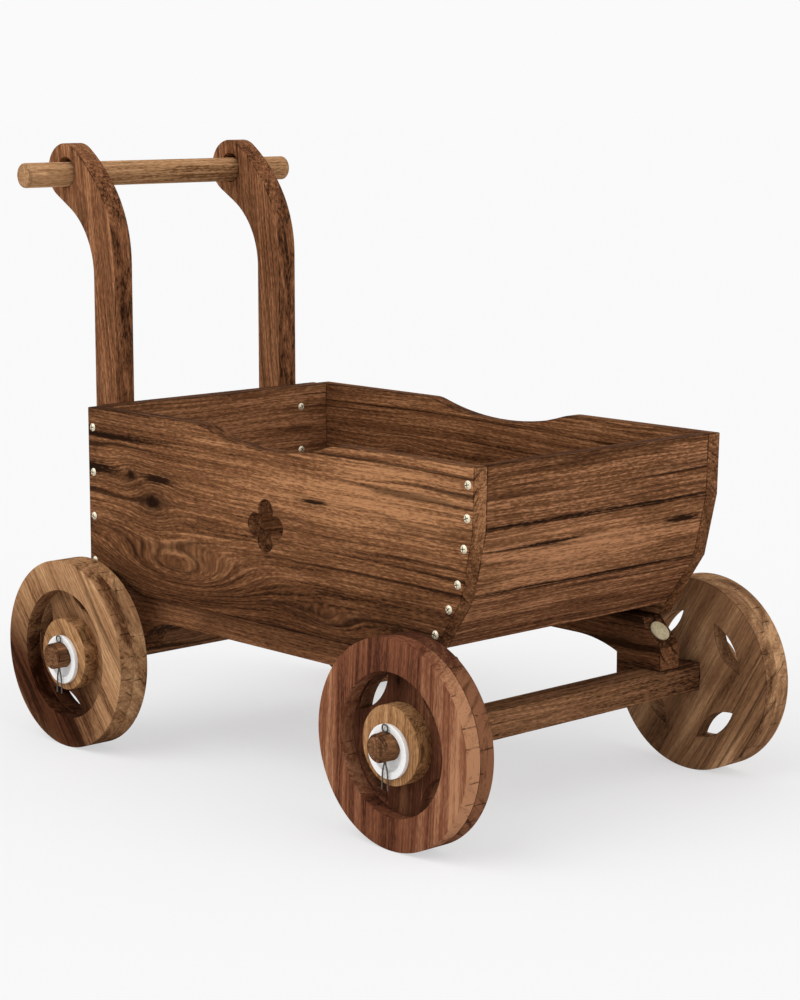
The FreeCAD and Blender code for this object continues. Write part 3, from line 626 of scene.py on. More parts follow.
        normal = g.split(take["Normal"])
        ends = g.rise(abs(normal[0]), *self.END_STEP)
        face = g.rise(abs(normal[2]), *self.FACE_STEP)
        results = {
            "Rings": self._rings(g, take, bent, radius, seed),
            "Streaks": self.STREAKS.over(g, contour, seed),
            "Fibre": fibre,
            "Burn": self.SMOKE.over(g, turned, seed),
            "Seam": self.THREADS.over(g, turned, seed),
            "Pores": self.PORES.over(g, bent, seed),
            "Mottle": self.MOTTLE.over(g, take["Vector"], seed),
            "Knot": knot,
            "End": ends,
            # Flank marks the side faces, neither broad face nor end grain, which take painted light and shade
            "Flank": (1.0 - face) * (1.0 - ends),
            "Shade": shade}
        for name, value in results.items():
            g.feed(out.inputs[name], value)
        return g.tree

    def _colour(self) -> bpy.types.NodeTree:
        """The colour and relief that the figure's masks give.

        Returns:
            The group.
        """
        inputs: Inputs = {name: (Kind.NUMBER, 0.0) for name in self.MASKS}
        for name in ("Edge", "Char", "Contrast", "Flank Lift", "Mottle Share", "Fibre Share", "Streak Share"):
            inputs[name] = (Kind.NUMBER, 0.0)
        for name in ("Light", "Middle", "Dark", "Burnt"):
            inputs[name] = (Kind.COLOUR, (0.5, 0.5, 0.5, 1.0))
        outputs = {"Color": Kind.COLOUR, "Height": Kind.NUMBER, "Gloss": Kind.NUMBER}
        g, take, out = open_group("wood_colour", "ShaderNodeTree", inputs, outputs)
        tone = take["Streaks"] * take["Streak Share"] + take["Fibre"] * take["Fibre Share"]
        # Painted light and shade: the side faces are made lighter or darker than the broad faces.
        tone = tone + (take["Mottle"] - 0.5) * take["Mottle Share"] + take["Flank"] * take["Flank Lift"]
        # Painted shade and light from the patches: a negative Shade lifts the tone, a positive one lowers it
        # and darkens the colour.
        deep = g.larger(take["Shade"], 0.0)
        tone = tone - g.smaller(take["Shade"], 0.0) - deep * self.PATCH_TONE
        colour = g.mix(g.rise(tone, *self.MIDDLE_STEP), take["Dark"], take["Middle"])
        colour = g.mix(g.rise(tone, *self.LIGHT_STEP), colour, take["Light"])
        colour = g.mix(deep, colour, self.PATCH_TINT, "MULTIPLY")
        burn = take["Burn"] * take["Char"]
        seam = take["Seam"] * (take["Char"] * self.SEAM_CHAR + self.SEAM_COVER)
        covers = (
            (take["Rings"] * take["Contrast"], "Dark"), (burn * self.BURN_COVER, "Burnt"), (seam, "Burnt"),
            (take["Pores"] * self.PORE_COVER, "Dark"), (take["End"] * self.END_COVER, "Dark"),
            (take["Knot"], "Burnt"), (take["Edge"], "Burnt"))
        for share, name in covers:
            colour = g.mix(share, colour, take[name])
        low = take["Rings"] * self.RING_DIP + burn * self.BURN_DIP
        low = low + (seam * self.SEAM_DIP + take["Pores"] * self.PORE_DIP)
        g.feed(out.inputs["Color"], colour)
        g.feed(out.inputs["Height"], take["Fibre"] * self.FIBRE_RISE - low)
        g.feed(out.inputs["Gloss"], take["Rings"] * self.RING_GLOSS + take["Fibre"] * self.FIBRE_GLOSS)
        return g.tree

    def _edge(self) -> bpy.types.NodeTree:
        """The broken dark line that burning leaves along the edges.

        Returns:
            The group.
        """
        inputs: Inputs = {"Vector": (Kind.VECTOR, None), "Edge": (Kind.NUMBER, 0.0),
                          "Strength": (Kind.NUMBER, 0.6)}
        g, take, out = open_group("burnt_edge", "ShaderNodeTree", inputs, {"Mask": Kind.NUMBER})
        broken = g.rise(g.noise(take["Vector"], self.EDGE_SCALE, 3.0, 0.6), *self.EDGE_STEP)
        g.feed(out.inputs["Mask"], take["Edge"] * (broken * take["Strength"]))
        return g.tree

    def _cracks(self) -> bpy.types.NodeTree:
        """The short dark checks across a wheel's tread, at uneven angles.

        Returns:
            The group. Its vector is centred on the wheel.
        """
        inputs: Inputs = {"Vector": (Kind.VECTOR, None), "Normal": (Kind.VECTOR, None),
                          "Count": (Kind.NUMBER, 30.0), "Seed": (Kind.NUMBER, 0.0)}
        g, take, out = open_group("tread_cracks", "ShaderNodeTree", inputs, {"Mask": Kind.NUMBER})
        x, y, z = g.split(take["Vector"])
        angle = g.math("ARCTAN2", z, x) / math.tau
        wobble = g.noise(take["Vector"], self.CRACK_WOBBLE_SCALE, 2.0) * self.CRACK_WOBBLE
        spot = angle * take["Count"] + wobble
        whole = g.math("FLOOR", spot)
        place = g.chance(whole + take["Seed"]) * self.CRACK_LEEWAY + (1.0 - self.CRACK_LEEWAY) / 2
        line = 1.0 - g.rise(abs(g.math("FRACT", spot) - place), *self.CRACK_WIDTH)
        stretch = g.join(whole, y * self.CRACK_REACH, take["Seed"])
        torn = g.rise(g.noise(stretch, 1.0, 1.0), *self.CRACK_STEP)
        tread = 1.0 - g.rise(abs(g.split(take["Normal"])[1]), *self.TREAD_STEP)
        g.feed(out.inputs["Mask"], line * torn * tread)
        return g.tree


class Plating:
    """The group that every metal finish shares: brushed marks, and grime that in the screws' cross recesses
    is painted shade.
    """

    CLOUD_SCALE = 420.0
    BRUSHING: Triple = (900.0, 900.0, 3200.0)
    GRIME_STEP = (0.45, 0.75)
    LEAST_ROUGHNESS = 0.3
    MORE_ROUGHNESS = 0.25
    CLOUD_RELIEF = 0.4

    def __init__(self) -> None:
        """Builds the group once."""
        inputs: Inputs = {"Vector": (Kind.VECTOR, None), "Clean": (Kind.COLOUR, (0.8, 0.8, 0.8, 1.0)),
                          "Grimy": (Kind.COLOUR, (0.2, 0.2, 0.2, 1.0)), "Grime": (Kind.NUMBER, 0.3)}
        outputs = {"Color": Kind.COLOUR, "Roughness": Kind.NUMBER, "Height": Kind.NUMBER}
        g, take, out = open_group("plated_metal", "ShaderNodeTree", inputs, outputs)
        cloud = g.noise(take["Vector"], self.CLOUD_SCALE, 3.0, 0.6)
        brushed = g.noise(take["Vector"] * self.BRUSHING, 1.0, 2.0)
        # Grime, and in the screw recesses painted shade: a cloud of the darker colour.
        dirt_and_shade = g.rise(cloud, *self.GRIME_STEP) * take["Grime"]
        g.feed(out.inputs["Color"], g.mix(dirt_and_shade, take["Clean"], take["Grimy"]))
        g.feed(out.inputs["Roughness"], cloud * self.MORE_ROUGHNESS + self.LEAST_ROUGHNESS)
        g.feed(out.inputs["Height"], brushed + cloud * self.CLOUD_RELIEF)
        self.group = g.tree


GRAIN = Grain()
PLATING = Plating()


# ---------------------------------------------------------------- finishes


@dataclass(frozen=True)
class Lay:
    """How a board's grain lies: where its pattern is centred, and which ways it runs."""

    origin: Triple
    along: Triple = (1.0, 0.0, 0.0)
    across: Triple = (0.0, 0.0, 1.0)

    def turn(self) -> Euler:
        """The turn from the frame's axes to the grain's.

        Returns:
            The turn. The grain's axes are along it, across the face, and out of the face.
        """
        first = Vector(self.along).normalized()
        third = first.cross(Vector(self.across)).normalized()
        second = third.cross(first)
        return Matrix((first, second, third)).transposed().to_euler()


@dataclass(frozen=True)
class Spot:
    """A knot, an oval of figure, a smudge or a patch of painted shade and light: its place on the grain's
    plane, and its size.
    """

    along: float
    across: float
    radius: float
    breadth: float = 0.0
    height: float = 0.0


@dataclass(frozen=True)
class WoodFinish:
    """A burnt softwood surface: its colours, its rings and how charred it is."""

    light: Colour
    middle: Colour
    dark: Colour
    burnt: Colour
    ring_spacing: float = 0.0065
    heart_depth: float = 0.055
    heart_shift: float = 0.0
    wander: float = 0.007
    wander_length: float = 0.26
    streak_count: float = 150.0
    char: float = 0.7
    contrast: float = 0.85
    edge_char: float = 0.7
    roughness: float = 0.84
    relief: float = 0.0004
    # Painted light and shade on the side faces: a positive share lightens them, a negative one darkens them.
    flank_lift: float = -0.32
    mottle: float = 0.75
    fibre: float = 0.74
    streak: float = 0.3
    cracks: float = 0.0
    crack_depth: float = 0.75
    specular: float = 0.03
    seed: float = 1.0
    knots: tuple[Spot, ...] = ()
    figures: tuple[Spot, ...] = ()
    smudges: tuple[Spot, ...] = ()
    patches: tuple[Spot, ...] = ()

    def _figure(self, g: Graph, vector: Feed, normal: Feed) -> bpy.types.Node:
        """Places the figure group with this finish's values.

        Args:
            g: The material's graph.
            vector: The place in the grain's axes.
            normal: The normal in the grain's axes.

        Returns:
            The group's node.
        """
        feeds: Feeds = {
            "Vector": vector, "Normal": normal, "Seed": self.seed, "Ring Spacing": self.ring_spacing,
            "Heart Depth": self.heart_depth, "Heart Shift": self.heart_shift, "Wander": self.wander,
            "Wander Length": self.wander_length, "Streak Count": self.streak_count}
        for place, spot in enumerate(self.knots):
            feeds[f"Knot {place}"] = (spot.along, spot.across, 0.0)
            feeds[f"Knot {place} Radius"] = spot.radius
        for word, spots in (("Figure", self.figures), ("Smudge", self.smudges), ("Patch", self.patches)):
            for place, spot in enumerate(spots):
                feeds[f"{word} {place}"] = (spot.along, spot.across, 0.0)
                feeds[f"{word} {place} Reach"] = (spot.radius, spot.breadth, 1.0)
                if word != "Smudge":
                    feeds[f"{word} {place} Height"] = spot.height
        return g.add("ShaderNodeGroup", feeds, node_tree=GRAIN.figure)

    def material(self, name: str, lay: Lay) -> bpy.types.Material:
        """The finish on one piece.

        Args:
            name: The material's name.
            lay: How the grain lies on the piece.

        Returns:
            The material.
        """
        made = bpy.data.materials.new(name)
        made.use_nodes = True
        g = Graph(made.node_tree)
        shader = made.node_tree.nodes["Principled BSDF"]
        place = g.add("ShaderNodeTexCoord")
        turn = lay.turn()
        mapped = g.made("ShaderNodeMapping", {"Vector": place.outputs["Object"], "Location": lay.origin,
                                              "Rotation": turn}, vector_type="TEXTURE")
        facing = g.made("ShaderNodeMapping", {"Vector": place.outputs["Normal"], "Rotation": turn},
                        vector_type="TEXTURE")
        edge = g.made("ShaderNodeAttribute", output="Fac", attribute_name=EDGE_ATTRIBUTE)
        rim = g.made("ShaderNodeGroup", {"Vector": place.outputs["Object"], "Edge": edge,
                                         "Strength": self.edge_char}, "Mask", node_tree=GRAIN.edge)
        if self.cracks > 0:
            centred = g.vector("SUBTRACT", place.outputs["Object"], lay.origin)
            checks = g.made("ShaderNodeGroup", {"Vector": centred, "Normal": place.outputs["Normal"],
                                                "Count": self.cracks, "Seed": self.seed}, "Mask",
                            node_tree=GRAIN.cracks)
            rim = g.larger(rim, checks * self.crack_depth)
        feeds: Feeds = {socket.name: socket for socket in self._figure(g, mapped, facing).outputs}
        feeds |= {"Edge": rim, "Char": self.char, "Contrast": self.contrast, "Light": self.light,
                  "Middle": self.middle, "Dark": self.dark, "Burnt": self.burnt,
                  "Flank Lift": self.flank_lift, "Mottle Share": self.mottle, "Fibre Share": self.fibre,
                  "Streak Share": self.streak}
        painted = g.add("ShaderNodeGroup", feeds, node_tree=GRAIN.colour)
        g.feed(shader.inputs["Base Color"], painted.outputs["Color"])
        g.feed(shader.inputs["Roughness"], g.math("ADD", painted.outputs["Gloss"], self.roughness))
        bump = g.made("ShaderNodeBump", {"Height": painted.outputs["Height"], "Distance": self.relief,
                                         "Strength": 1.0}, "Normal")
        g.feed(shader.inputs["Normal"], bump)
        g.feed(shader.inputs["Specular IOR Level"], self.specular)
        return made


@dataclass(frozen=True)
class MetalFinish:
    """A plated or bare steel surface."""

    clean: Colour
    grimy: Colour
    metallic: float
    grime: float
    relief: float = 0.00003

    def material(self, name: str) -> bpy.types.Material:
        """The finish as a material.

        Args:
            name: The material's name.

        Returns:
            The material.
        """
        made = bpy.data.materials.new(name)
        made.use_nodes = True
        g = Graph(made.node_tree)
        shader = made.node_tree.nodes["Principled BSDF"]
        place = g.add("ShaderNodeTexCoord")
        plated = g.add("ShaderNodeGroup", {"Vector": place.outputs["Object"], "Clean": self.clean,
                                           "Grimy": self.grimy, "Grime": self.grime}, node_tree=PLATING.group)
        bump = g.made("ShaderNodeBump", {"Height": plated.outputs["Height"], "Distance": self.relief},
                      "Normal")
        g.feed(shader.inputs["Base Color"], plated.outputs["Color"])
        g.feed(shader.inputs["Roughness"], plated.outputs["Roughness"])
        g.feed(shader.inputs["Normal"], bump)
        g.feed(shader.inputs["Metallic"], self.metallic)
        return made


BURNT = linear(30, 15, 7)
PANEL_WOOD = WoodFinish(
    light=linear(184, 131, 90), middle=linear(118, 77, 49), dark=linear(58, 35, 20), burnt=BURNT,
    ring_spacing=0.0038, contrast=1.0)
BOARD_WOOD = WoodFinish(
    light=linear(184, 130, 92), middle=linear(118, 78, 50), dark=linear(60, 36, 22), burnt=BURNT,
    heart_depth=0.03, char=0.8, ring_spacing=0.0044, contrast=1.1)
FRAME_WOOD = WoodFinish(
    light=linear(158, 110, 75), middle=linear(106, 68, 43), dark=linear(48, 28, 16), burnt=BURNT,
    ring_spacing=0.004, heart_depth=0.03, char=0.9)
WHEEL_WOOD = WoodFinish(
    light=linear(178, 128, 92), middle=linear(118, 74, 50), dark=linear(66, 38, 25), burnt=BURNT,
    ring_spacing=0.007, heart_depth=0.03, char=0.5, contrast=0.7, cracks=24.0, wander=0.005,
    wander_length=0.16, flank_lift=0.34, streak_count=75.0, mottle=1.2, fibre=0.46, streak=0.58)
PALE_WOOD = WoodFinish(
    light=linear(214, 168, 124), middle=linear(170, 126, 86), dark=linear(104, 70, 42), burnt=BURNT,
    ring_spacing=0.0034, heart_depth=0.02, char=0.35, contrast=0.8, edge_char=0.35, flank_lift=0.0)
PLUG_WOOD = WoodFinish(
    light=linear(228, 218, 188), middle=linear(206, 192, 156), dark=linear(146, 126, 88), burnt=BURNT,
    ring_spacing=0.0024, heart_depth=0.004, heart_shift=0.003, char=0.2, contrast=0.6, edge_char=0.2,
    flank_lift=0.0)
SCREW_METAL = MetalFinish(
    clean=linear(240, 231, 205), grimy=linear(150, 130, 95), metallic=0.25, grime=0.35)
# Painted shade: the dark brown stands in for the shade down in the screws' cross recesses.
RECESS_SHADE_METAL = MetalFinish(
    clean=linear(120, 100, 70), grimy=linear(50, 38, 24), metallic=0.2, grime=0.8)
WASHER_METAL = MetalFinish(
    clean=linear(247, 247, 246), grimy=linear(205, 205, 204), metallic=0.1, grime=0.25)
PIN_METAL = MetalFinish(
    clean=linear(96, 88, 80), grimy=linear(40, 33, 28), metallic=0.75, grime=0.6)


def tuned(finish: WoodFinish, **changes: object) -> WoodFinish:
    """A finish with some of its values changed for one piece."""
    values = {name: getattr(finish, name) for name in finish.__dataclass_fields__}
    return WoodFinish(**(values | changes))


# ---------------------------------------------------------------- making pieces


def put(name: str, data: bpy.types.ID) -> bpy.types.Object:
    """An object at the origin, linked to the scene.

    Args:
        name: Its name.
        data: What it shows.

    Returns:
        The object.
    """
    made = bpy.data.objects.new(name, data)
    bpy.context.scene.collection.objects.link(made)
    return made


def corners(points: Iterable[Vector]) -> tuple[Vector, Vector]:
    """The low and high corners of the box round some points."""
    sides = list(zip(*points))
    return Vector([min(side) for side in sides]), Vector([max(side) for side in sides])


def islands(left: set, near: Callable) -> Iterator[list]:
    """Groups what hangs together.

    Args:
        left: The things to group, which are used up.
        near: What touches one of them.

    Yields:
        Each group.
    """
    while left:
        group, front = [], [left.pop()]
        while front:
            group.append(front.pop())
            for other in near(group[-1]):
                if other in left:
                    left.remove(other)
                    front.append(other)
        yield group


def mend(mesh: bpy.types.Mesh) -> None:
    """Merges a mesh's doubles and turns its faces outwards.

    Args:
        mesh: The mesh.
    """
    work = bmesh.new()
    work.from_mesh(mesh)
    bmesh.ops.remove_doubles(work, verts=work.verts, dist=MERGE_DISTANCE)
    bmesh.ops.recalc_face_normals(work, faces=work.faces)
    work.to_mesh(mesh)
    work.free()


def merged(node: str) -> bmesh.types.BMesh:
    """Copies a node's mesh to work on.

    Args:
        node: The frame's node.

    Returns:
        The copy, with its loose triangles merged.
    """
    work = bmesh.new()
    work.from_mesh(frame["nodes"][node].data)
    bmesh.ops.remove_doubles(work, verts=work.verts, dist=MERGE_DISTANCE)
    return work


def sharp_chains(mesh: bmesh.types.BMesh, least: float) -> list[bmesh.types.BMEdge]:
    """The sharp edges worth rounding: those in chains longer than a screw hole's rim.

    Args:
        mesh: The merged mesh.
        least: The smallest span of a chain that is rounded.

    Returns:
        The edges.
    """
    sharp = {edge for edge in mesh.edges if edge.is_manifold and edge.calc_face_angle() > SHARP_ANGLE}
    kept: list[bmesh.types.BMEdge] = []
    for chain in islands(sharp, lambda edge: [other for vertex in edge.verts for other in vertex.link_edges]):
        low, high = corners(vertex.co for edge in chain for vertex in edge.verts)
        if (high - low).length > least:
            kept.extend(chain)
    return kept


def planed_copy(node: str, rounding: float, material: bpy.types.Material,
                least: float = LEAST_CHAIN) -> bpy.types.Object:
    """A piece with a node's shape and softly rounded edges.

    Args:
        node: The frame's node.
        rounding: How far an edge's rounding reaches.
        material: The piece's finish.
        least: The smallest span of an edge chain that is rounded.

    Returns:
        The piece, at the origin, with its rounded edges marked in an attribute.
    """
    work = merged(node)
    bmesh.ops.dissolve_limit(work, angle_limit=FLAT_ANGLE, verts=work.verts, edges=work.edges)
    weight = work.edges.layers.float.new("bevel_weight_edge")
    for edge in sharp_chains(work, least):
        edge[weight] = 1.0
    for edge in work.edges:
        edge.smooth = not (edge.is_manifold and edge.calc_face_angle() > SHARP_ANGLE and edge[weight] == 0.0)
    for face in work.faces:
        face.smooth = True
        face.material_index = 0
    mesh = bpy.data.meshes.new(node + "_cut")
    work.to_mesh(mesh)
    work.free()
    for _ in range(2):
        mesh.materials.append(material)
    piece = put(node + "_finished", mesh)
    bevel = piece.modifiers.new("rounding", "BEVEL")
    bevel.limit_method = "WEIGHT"
    bevel.width = rounding
    bevel.segments = 2
    bevel.material = 1
    bevel.harden_normals = True
    bevel.use_clamp_overlap = False
    settle(piece)
    marks = piece.data.attributes.new(EDGE_ATTRIBUTE, "FLOAT", "FACE")
    for face in piece.data.polygons:
        marks.data[face.index].value = float(face.material_index)
        face.material_index = 0
    piece.data.materials.pop()
    return piece


def settle(piece: bpy.types.Object) -> None:
    """Turns a piece with live modifiers into a plain mesh.

    Args:
        piece: The piece, whose modifiers are removed.
    """
    bpy.context.view_layer.update()
    seen = piece.evaluated_get(bpy.context.evaluated_depsgraph_get())
    mesh = bpy.data.meshes.new_from_object(seen)
    piece.modifiers.clear()
    old = piece.data
    piece.data = mesh
    mesh.name = piece.name
    bpy.data.meshes.remove(old)


def stand_for(piece: bpy.types.Object, node: str) -> None:
    """Lets a piece stand for a node: it rides on the node's body, and the node is hidden.

    Args:
        piece: The finished piece.
        node: The node that it replaces.
    """
    source = frame["nodes"][node]
    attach(piece, source["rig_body"])
    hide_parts(node)
    report.info("%s: %d faces, on %s", piece.name, len(piece.data.polygons), source["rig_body"])


def dress(node: str, finish: WoodFinish, lay: Lay, rounding: float) -> bpy.types.Object:
    """A wooden piece with a node's shape, standing for it.

    Args:
        node: The frame's node.
        finish: Its wood.
        lay: How its grain lies.
        rounding: How far an edge's rounding reaches.

    Returns:
        The piece.
    """
    piece = planed_copy(node, rounding, finish.material(node + "_wood", lay))
    stand_for(piece, node)
    return piece


# ---------------------------------------------------------------- geometry trees


class Tree:
    """A Geometry Nodes tree with named inputs, and the way to run it."""

    def __init__(self, name: str, inputs: Inputs) -> None:
        """Opens the tree.

        Args:
            name: The tree's name.
            inputs: Each named input's kind and default.
        """
        sockets = {"Geometry": (Kind.GEOMETRY, None)} | inputs
        self.graph, self.take, self.out = open_group(name, "GeometryNodeTree", sockets,
                                                     {"Geometry": Kind.GEOMETRY})
        self.graph.tree.is_modifier = True

    def close(self, geometry: Value, finish: Value, besides: Value | None = None) -> None:
        """Ends the tree in Realize Instances and Set Material.

        Args:
            geometry: What the tree has made.
            finish: The material that its faces get.
            besides: A material whose faces keep it.
        """
        g = self.graph
        solid = g.made("GeometryNodeRealizeInstances", {"Geometry": geometry})
        feeds: Feeds = {"Geometry": solid, "Material": finish}
        if besides is not None:
            own = g.made("GeometryNodeMaterialSelection", {"Material": besides})
            feeds["Selection"] = g.made("FunctionNodeBooleanMath", {0: own}, operation="NOT")
        g.feed(self.out.inputs[0], g.made("GeometryNodeSetMaterial", feeds))

    def rounded(self, geometry: Value, limit: float) -> Value:
        """Smooth shading that stops at sharp edges.

        Args:
            geometry: The faces to shade.
            limit: The sharpest edge that stays smooth, an angle.

        Returns:
            The shaded faces.
        """
        g = self.graph
        angle = g.made("GeometryNodeInputMeshEdgeAngle", output="Unsigned Angle")
        sharp = g.made("FunctionNodeCompare", {0: angle, 1: limit}, data_type="FLOAT",
                       operation="GREATER_THAN")
        faces = g.made("GeometryNodeSetShadeSmooth", {"Geometry": geometry, "Shade Smooth": True},
                       domain="FACE")
        return g.made("GeometryNodeSetShadeSmooth", {"Geometry": faces, "Selection": sharp,
                                                     "Shade Smooth": False}, domain="EDGE")

    def run(self, name: str, source: bpy.types.ID, values: dict[str, object]) -> bpy.types.Object:
        """Runs the tree on a source and keeps the plain mesh.

        Args:
            name: The piece's name.
            source: The mesh or curve that the tree starts from.
            values: What each named input takes.

        Returns:
            The piece.
        """
        holder = put(name + "_source", source)
        modifier = holder.modifiers.new(name, "NODES")
        modifier.node_group = self.graph.tree
        for item in self.graph.tree.interface.items_tree:
            if item.item_type == "SOCKET" and item.in_out == "INPUT" and item.name in values:
                modifier[item.identifier] = values[item.name]
        bpy.context.view_layer.update()
        seen = holder.evaluated_get(bpy.context.evaluated_depsgraph_get())
        mesh = bpy.data.meshes.new_from_object(seen)
        bpy.data.objects.remove(holder)
        mend(mesh)
        mesh.name = name
        return put(name, mesh)


def point_cloud(name: str, points: list[Vector], aims: list[Vector], reaches: list[float]) -> bpy.types.Mesh:
    """Loose points with an aim and a reach each, for a tree to put something on.

    Args:
        name: The mesh's name.
        points: The places.
        aims: The way each one looks.
        reaches: The length of what goes into each.

    Returns:
        The mesh.
    """
    mesh = bpy.data.meshes.new(name)
    mesh.from_pydata([tuple(point) for point in points], [], [])
    mesh.attributes.new("aim", "FLOAT_VECTOR", "POINT")
    mesh.attributes.new("reach", "FLOAT", "POINT")
    for place, (direction, length) in enumerate(zip(aims, reaches)):
        mesh.attributes["aim"].data[place].vector = direction
        mesh.attributes["reach"].data[place].value = length
    return mesh


def ring_tree() -> Tree:
    """The tree of a turned ring: a rounded rectangle swept round the axle's line.

    Returns:
        The tree.
    """
    tree = Tree("turned_ring", {
        "Outer Radius": (Kind.NUMBER, 0.1), "Inner Radius": (Kind.NUMBER, 0.05), "Depth": (Kind.NUMBER, 0.01),
        "Edge Round": (Kind.NUMBER, 0.001), "Segments": (Kind.WHOLE, 128), "Centre": (Kind.VECTOR, None),
        "Finish": (Kind.MATERIAL, None)})
    g, take = tree.graph, tree.take
    middle = (take["Outer Radius"] + take["Inner Radius"]) * 0.5
    path = g.made("GeometryNodeCurvePrimitiveCircle", {"Resolution": take["Segments"], "Radius": middle},
                  mode="RADIUS")
    wide = take["Outer Radius"] - take["Inner Radius"]
    section = g.made("GeometryNodeCurvePrimitiveQuadrilateral", {"Width": wide, "Height": take["Depth"]},
                     mode="RECTANGLE")
    eased = g.made("GeometryNodeFilletCurve", {"Curve": section, "Radius": take["Edge Round"],
                                               "Count": EDGE_STEPS}, mode="POLY")
    swept = g.made("GeometryNodeCurveToMesh", {"Curve": path, "Profile Curve": eased})
    placed = g.made("GeometryNodeTransform", {"Geometry": swept, "Translation": take["Centre"],
                                              "Rotation": (math.pi / 2, 0.0, 0.0)})
    tree.close(tree.rounded(placed, RING_SMOOTH), take["Finish"])
    return tree


def screw_tree() -> Tree:
    """The tree of a set of screws: coned heads with a cross recess, turned as the driver left them. The
    recess's faces take a dark material, painted shade.

    Returns:
        The tree.
    """
    tree = Tree("screw_set", {
        "Head Radius": (Kind.NUMBER, 0.004), "Crown Radius": (Kind.NUMBER, 0.0023),
        "Head Height": (Kind.NUMBER, 0.0016), "Shank Radius": (Kind.NUMBER, 0.0019),
        "Recess Span": (Kind.NUMBER, 0.0046), "Recess Width": (Kind.NUMBER, 0.0009),
        "Recess Depth": (Kind.NUMBER, 0.0011), "Seed": (Kind.WHOLE, 1), "Finish": (Kind.MATERIAL, None),
        "Recess Finish": (Kind.MATERIAL, None)})
    g, take = tree.graph, tree.take
    head = g.made("GeometryNodeMeshCone", {
        "Vertices": HEAD_SIDES, "Radius Top": take["Crown Radius"], "Radius Bottom": take["Head Radius"],
        "Depth": take["Head Height"]})
    painted = g.made("GeometryNodeSetMaterial", {"Geometry": head, "Material": take["Finish"]})
    deep = take["Recess Depth"] * 2.0
    cross = g.add("GeometryNodeMeshBoolean", {"Mesh 1": painted}, operation="DIFFERENCE", solver="EXACT")
    for size in (g.join(take["Recess Span"], take["Recess Width"], deep),
                 g.join(take["Recess Width"], take["Recess Span"], deep)):
        bar = g.made("GeometryNodeMeshCube", {"Size": size})
        lifted = g.made("GeometryNodeTransform", {"Geometry": bar,
                                                  "Translation": g.join(0.0, 0.0, take["Head Height"])})
        # The cross's faces take the dark recess material: painted shade.
        dark = g.made("GeometryNodeSetMaterial", {"Geometry": lifted, "Material": take["Recess Finish"]})
        g.feed(cross.inputs["Mesh 2"], dark)
    shank = g.made("GeometryNodeMeshCylinder", {"Vertices": SHANK_SIDES, "Radius": take["Shank Radius"],
                                                "Depth": 1.0}, "Mesh")
    lowered = g.made("GeometryNodeTransform", {"Geometry": shank, "Translation": (0.0, 0.0, -0.5)})
    steel = g.made("GeometryNodeSetMaterial", {"Geometry": lowered, "Material": take["Finish"]})
    aim = g.made("GeometryNodeInputNamedAttribute", {"Name": "aim"}, data_type="FLOAT_VECTOR")
    reach = g.made("GeometryNodeInputNamedAttribute", {"Name": "reach"}, data_type="FLOAT")
    facing = g.made("FunctionNodeAlignRotationToVector", {"Vector": aim}, axis="Z")
    chance = g.made("FunctionNodeRandomValue", {2: 0.0, 3: math.tau, "Seed": take["Seed"]}, 1,
                    data_type="FLOAT")
    spin = g.made("FunctionNodeEulerToRotation", {0: g.join(0.0, 0.0, chance)})
    turned = g.made("FunctionNodeRotateRotation", {0: facing, 1: spin}, rotation_space="LOCAL")
    both = g.add("GeometryNodeJoinGeometry")
    for part, scale in ((cross.outputs[0], 1.0), (steel, reach)):
        g.feed(both.inputs[0], g.made("GeometryNodeInstanceOnPoints", {
            "Points": take["Geometry"], "Instance": part, "Rotation": turned,
            "Scale": g.join(1.0, 1.0, scale)}))
    tree.close(tree.rounded(Value(g, both.outputs[0]), SCREW_SMOOTH), take["Finish"], take["Recess Finish"])
    return tree


def wire_tree() -> Tree:
    """The tree of a bent wire: a round section swept along its own curve.

    Returns:
        The tree.
    """
    tree = Tree("bent_wire", {"Wire Radius": (Kind.NUMBER, 0.001), "Sides": (Kind.WHOLE, 12),
                              "Finish": (Kind.MATERIAL, None)})
    g, take = tree.graph, tree.take
    section = g.made("GeometryNodeCurvePrimitiveCircle", {"Resolution": take["Sides"],
                                                          "Radius": take["Wire Radius"]}, mode="RADIUS")
    swept = g.made("GeometryNodeCurveToMesh", {"Curve": take["Geometry"], "Profile Curve": section,
                                               "Fill Caps": True})
    tree.close(tree.rounded(swept, WIRE_SMOOTH), take["Finish"])
    return tree


RINGS = ring_tree()
SCREWS = screw_tree()
WIRES = wire_tree()


# ---------------------------------------------------------------- the box


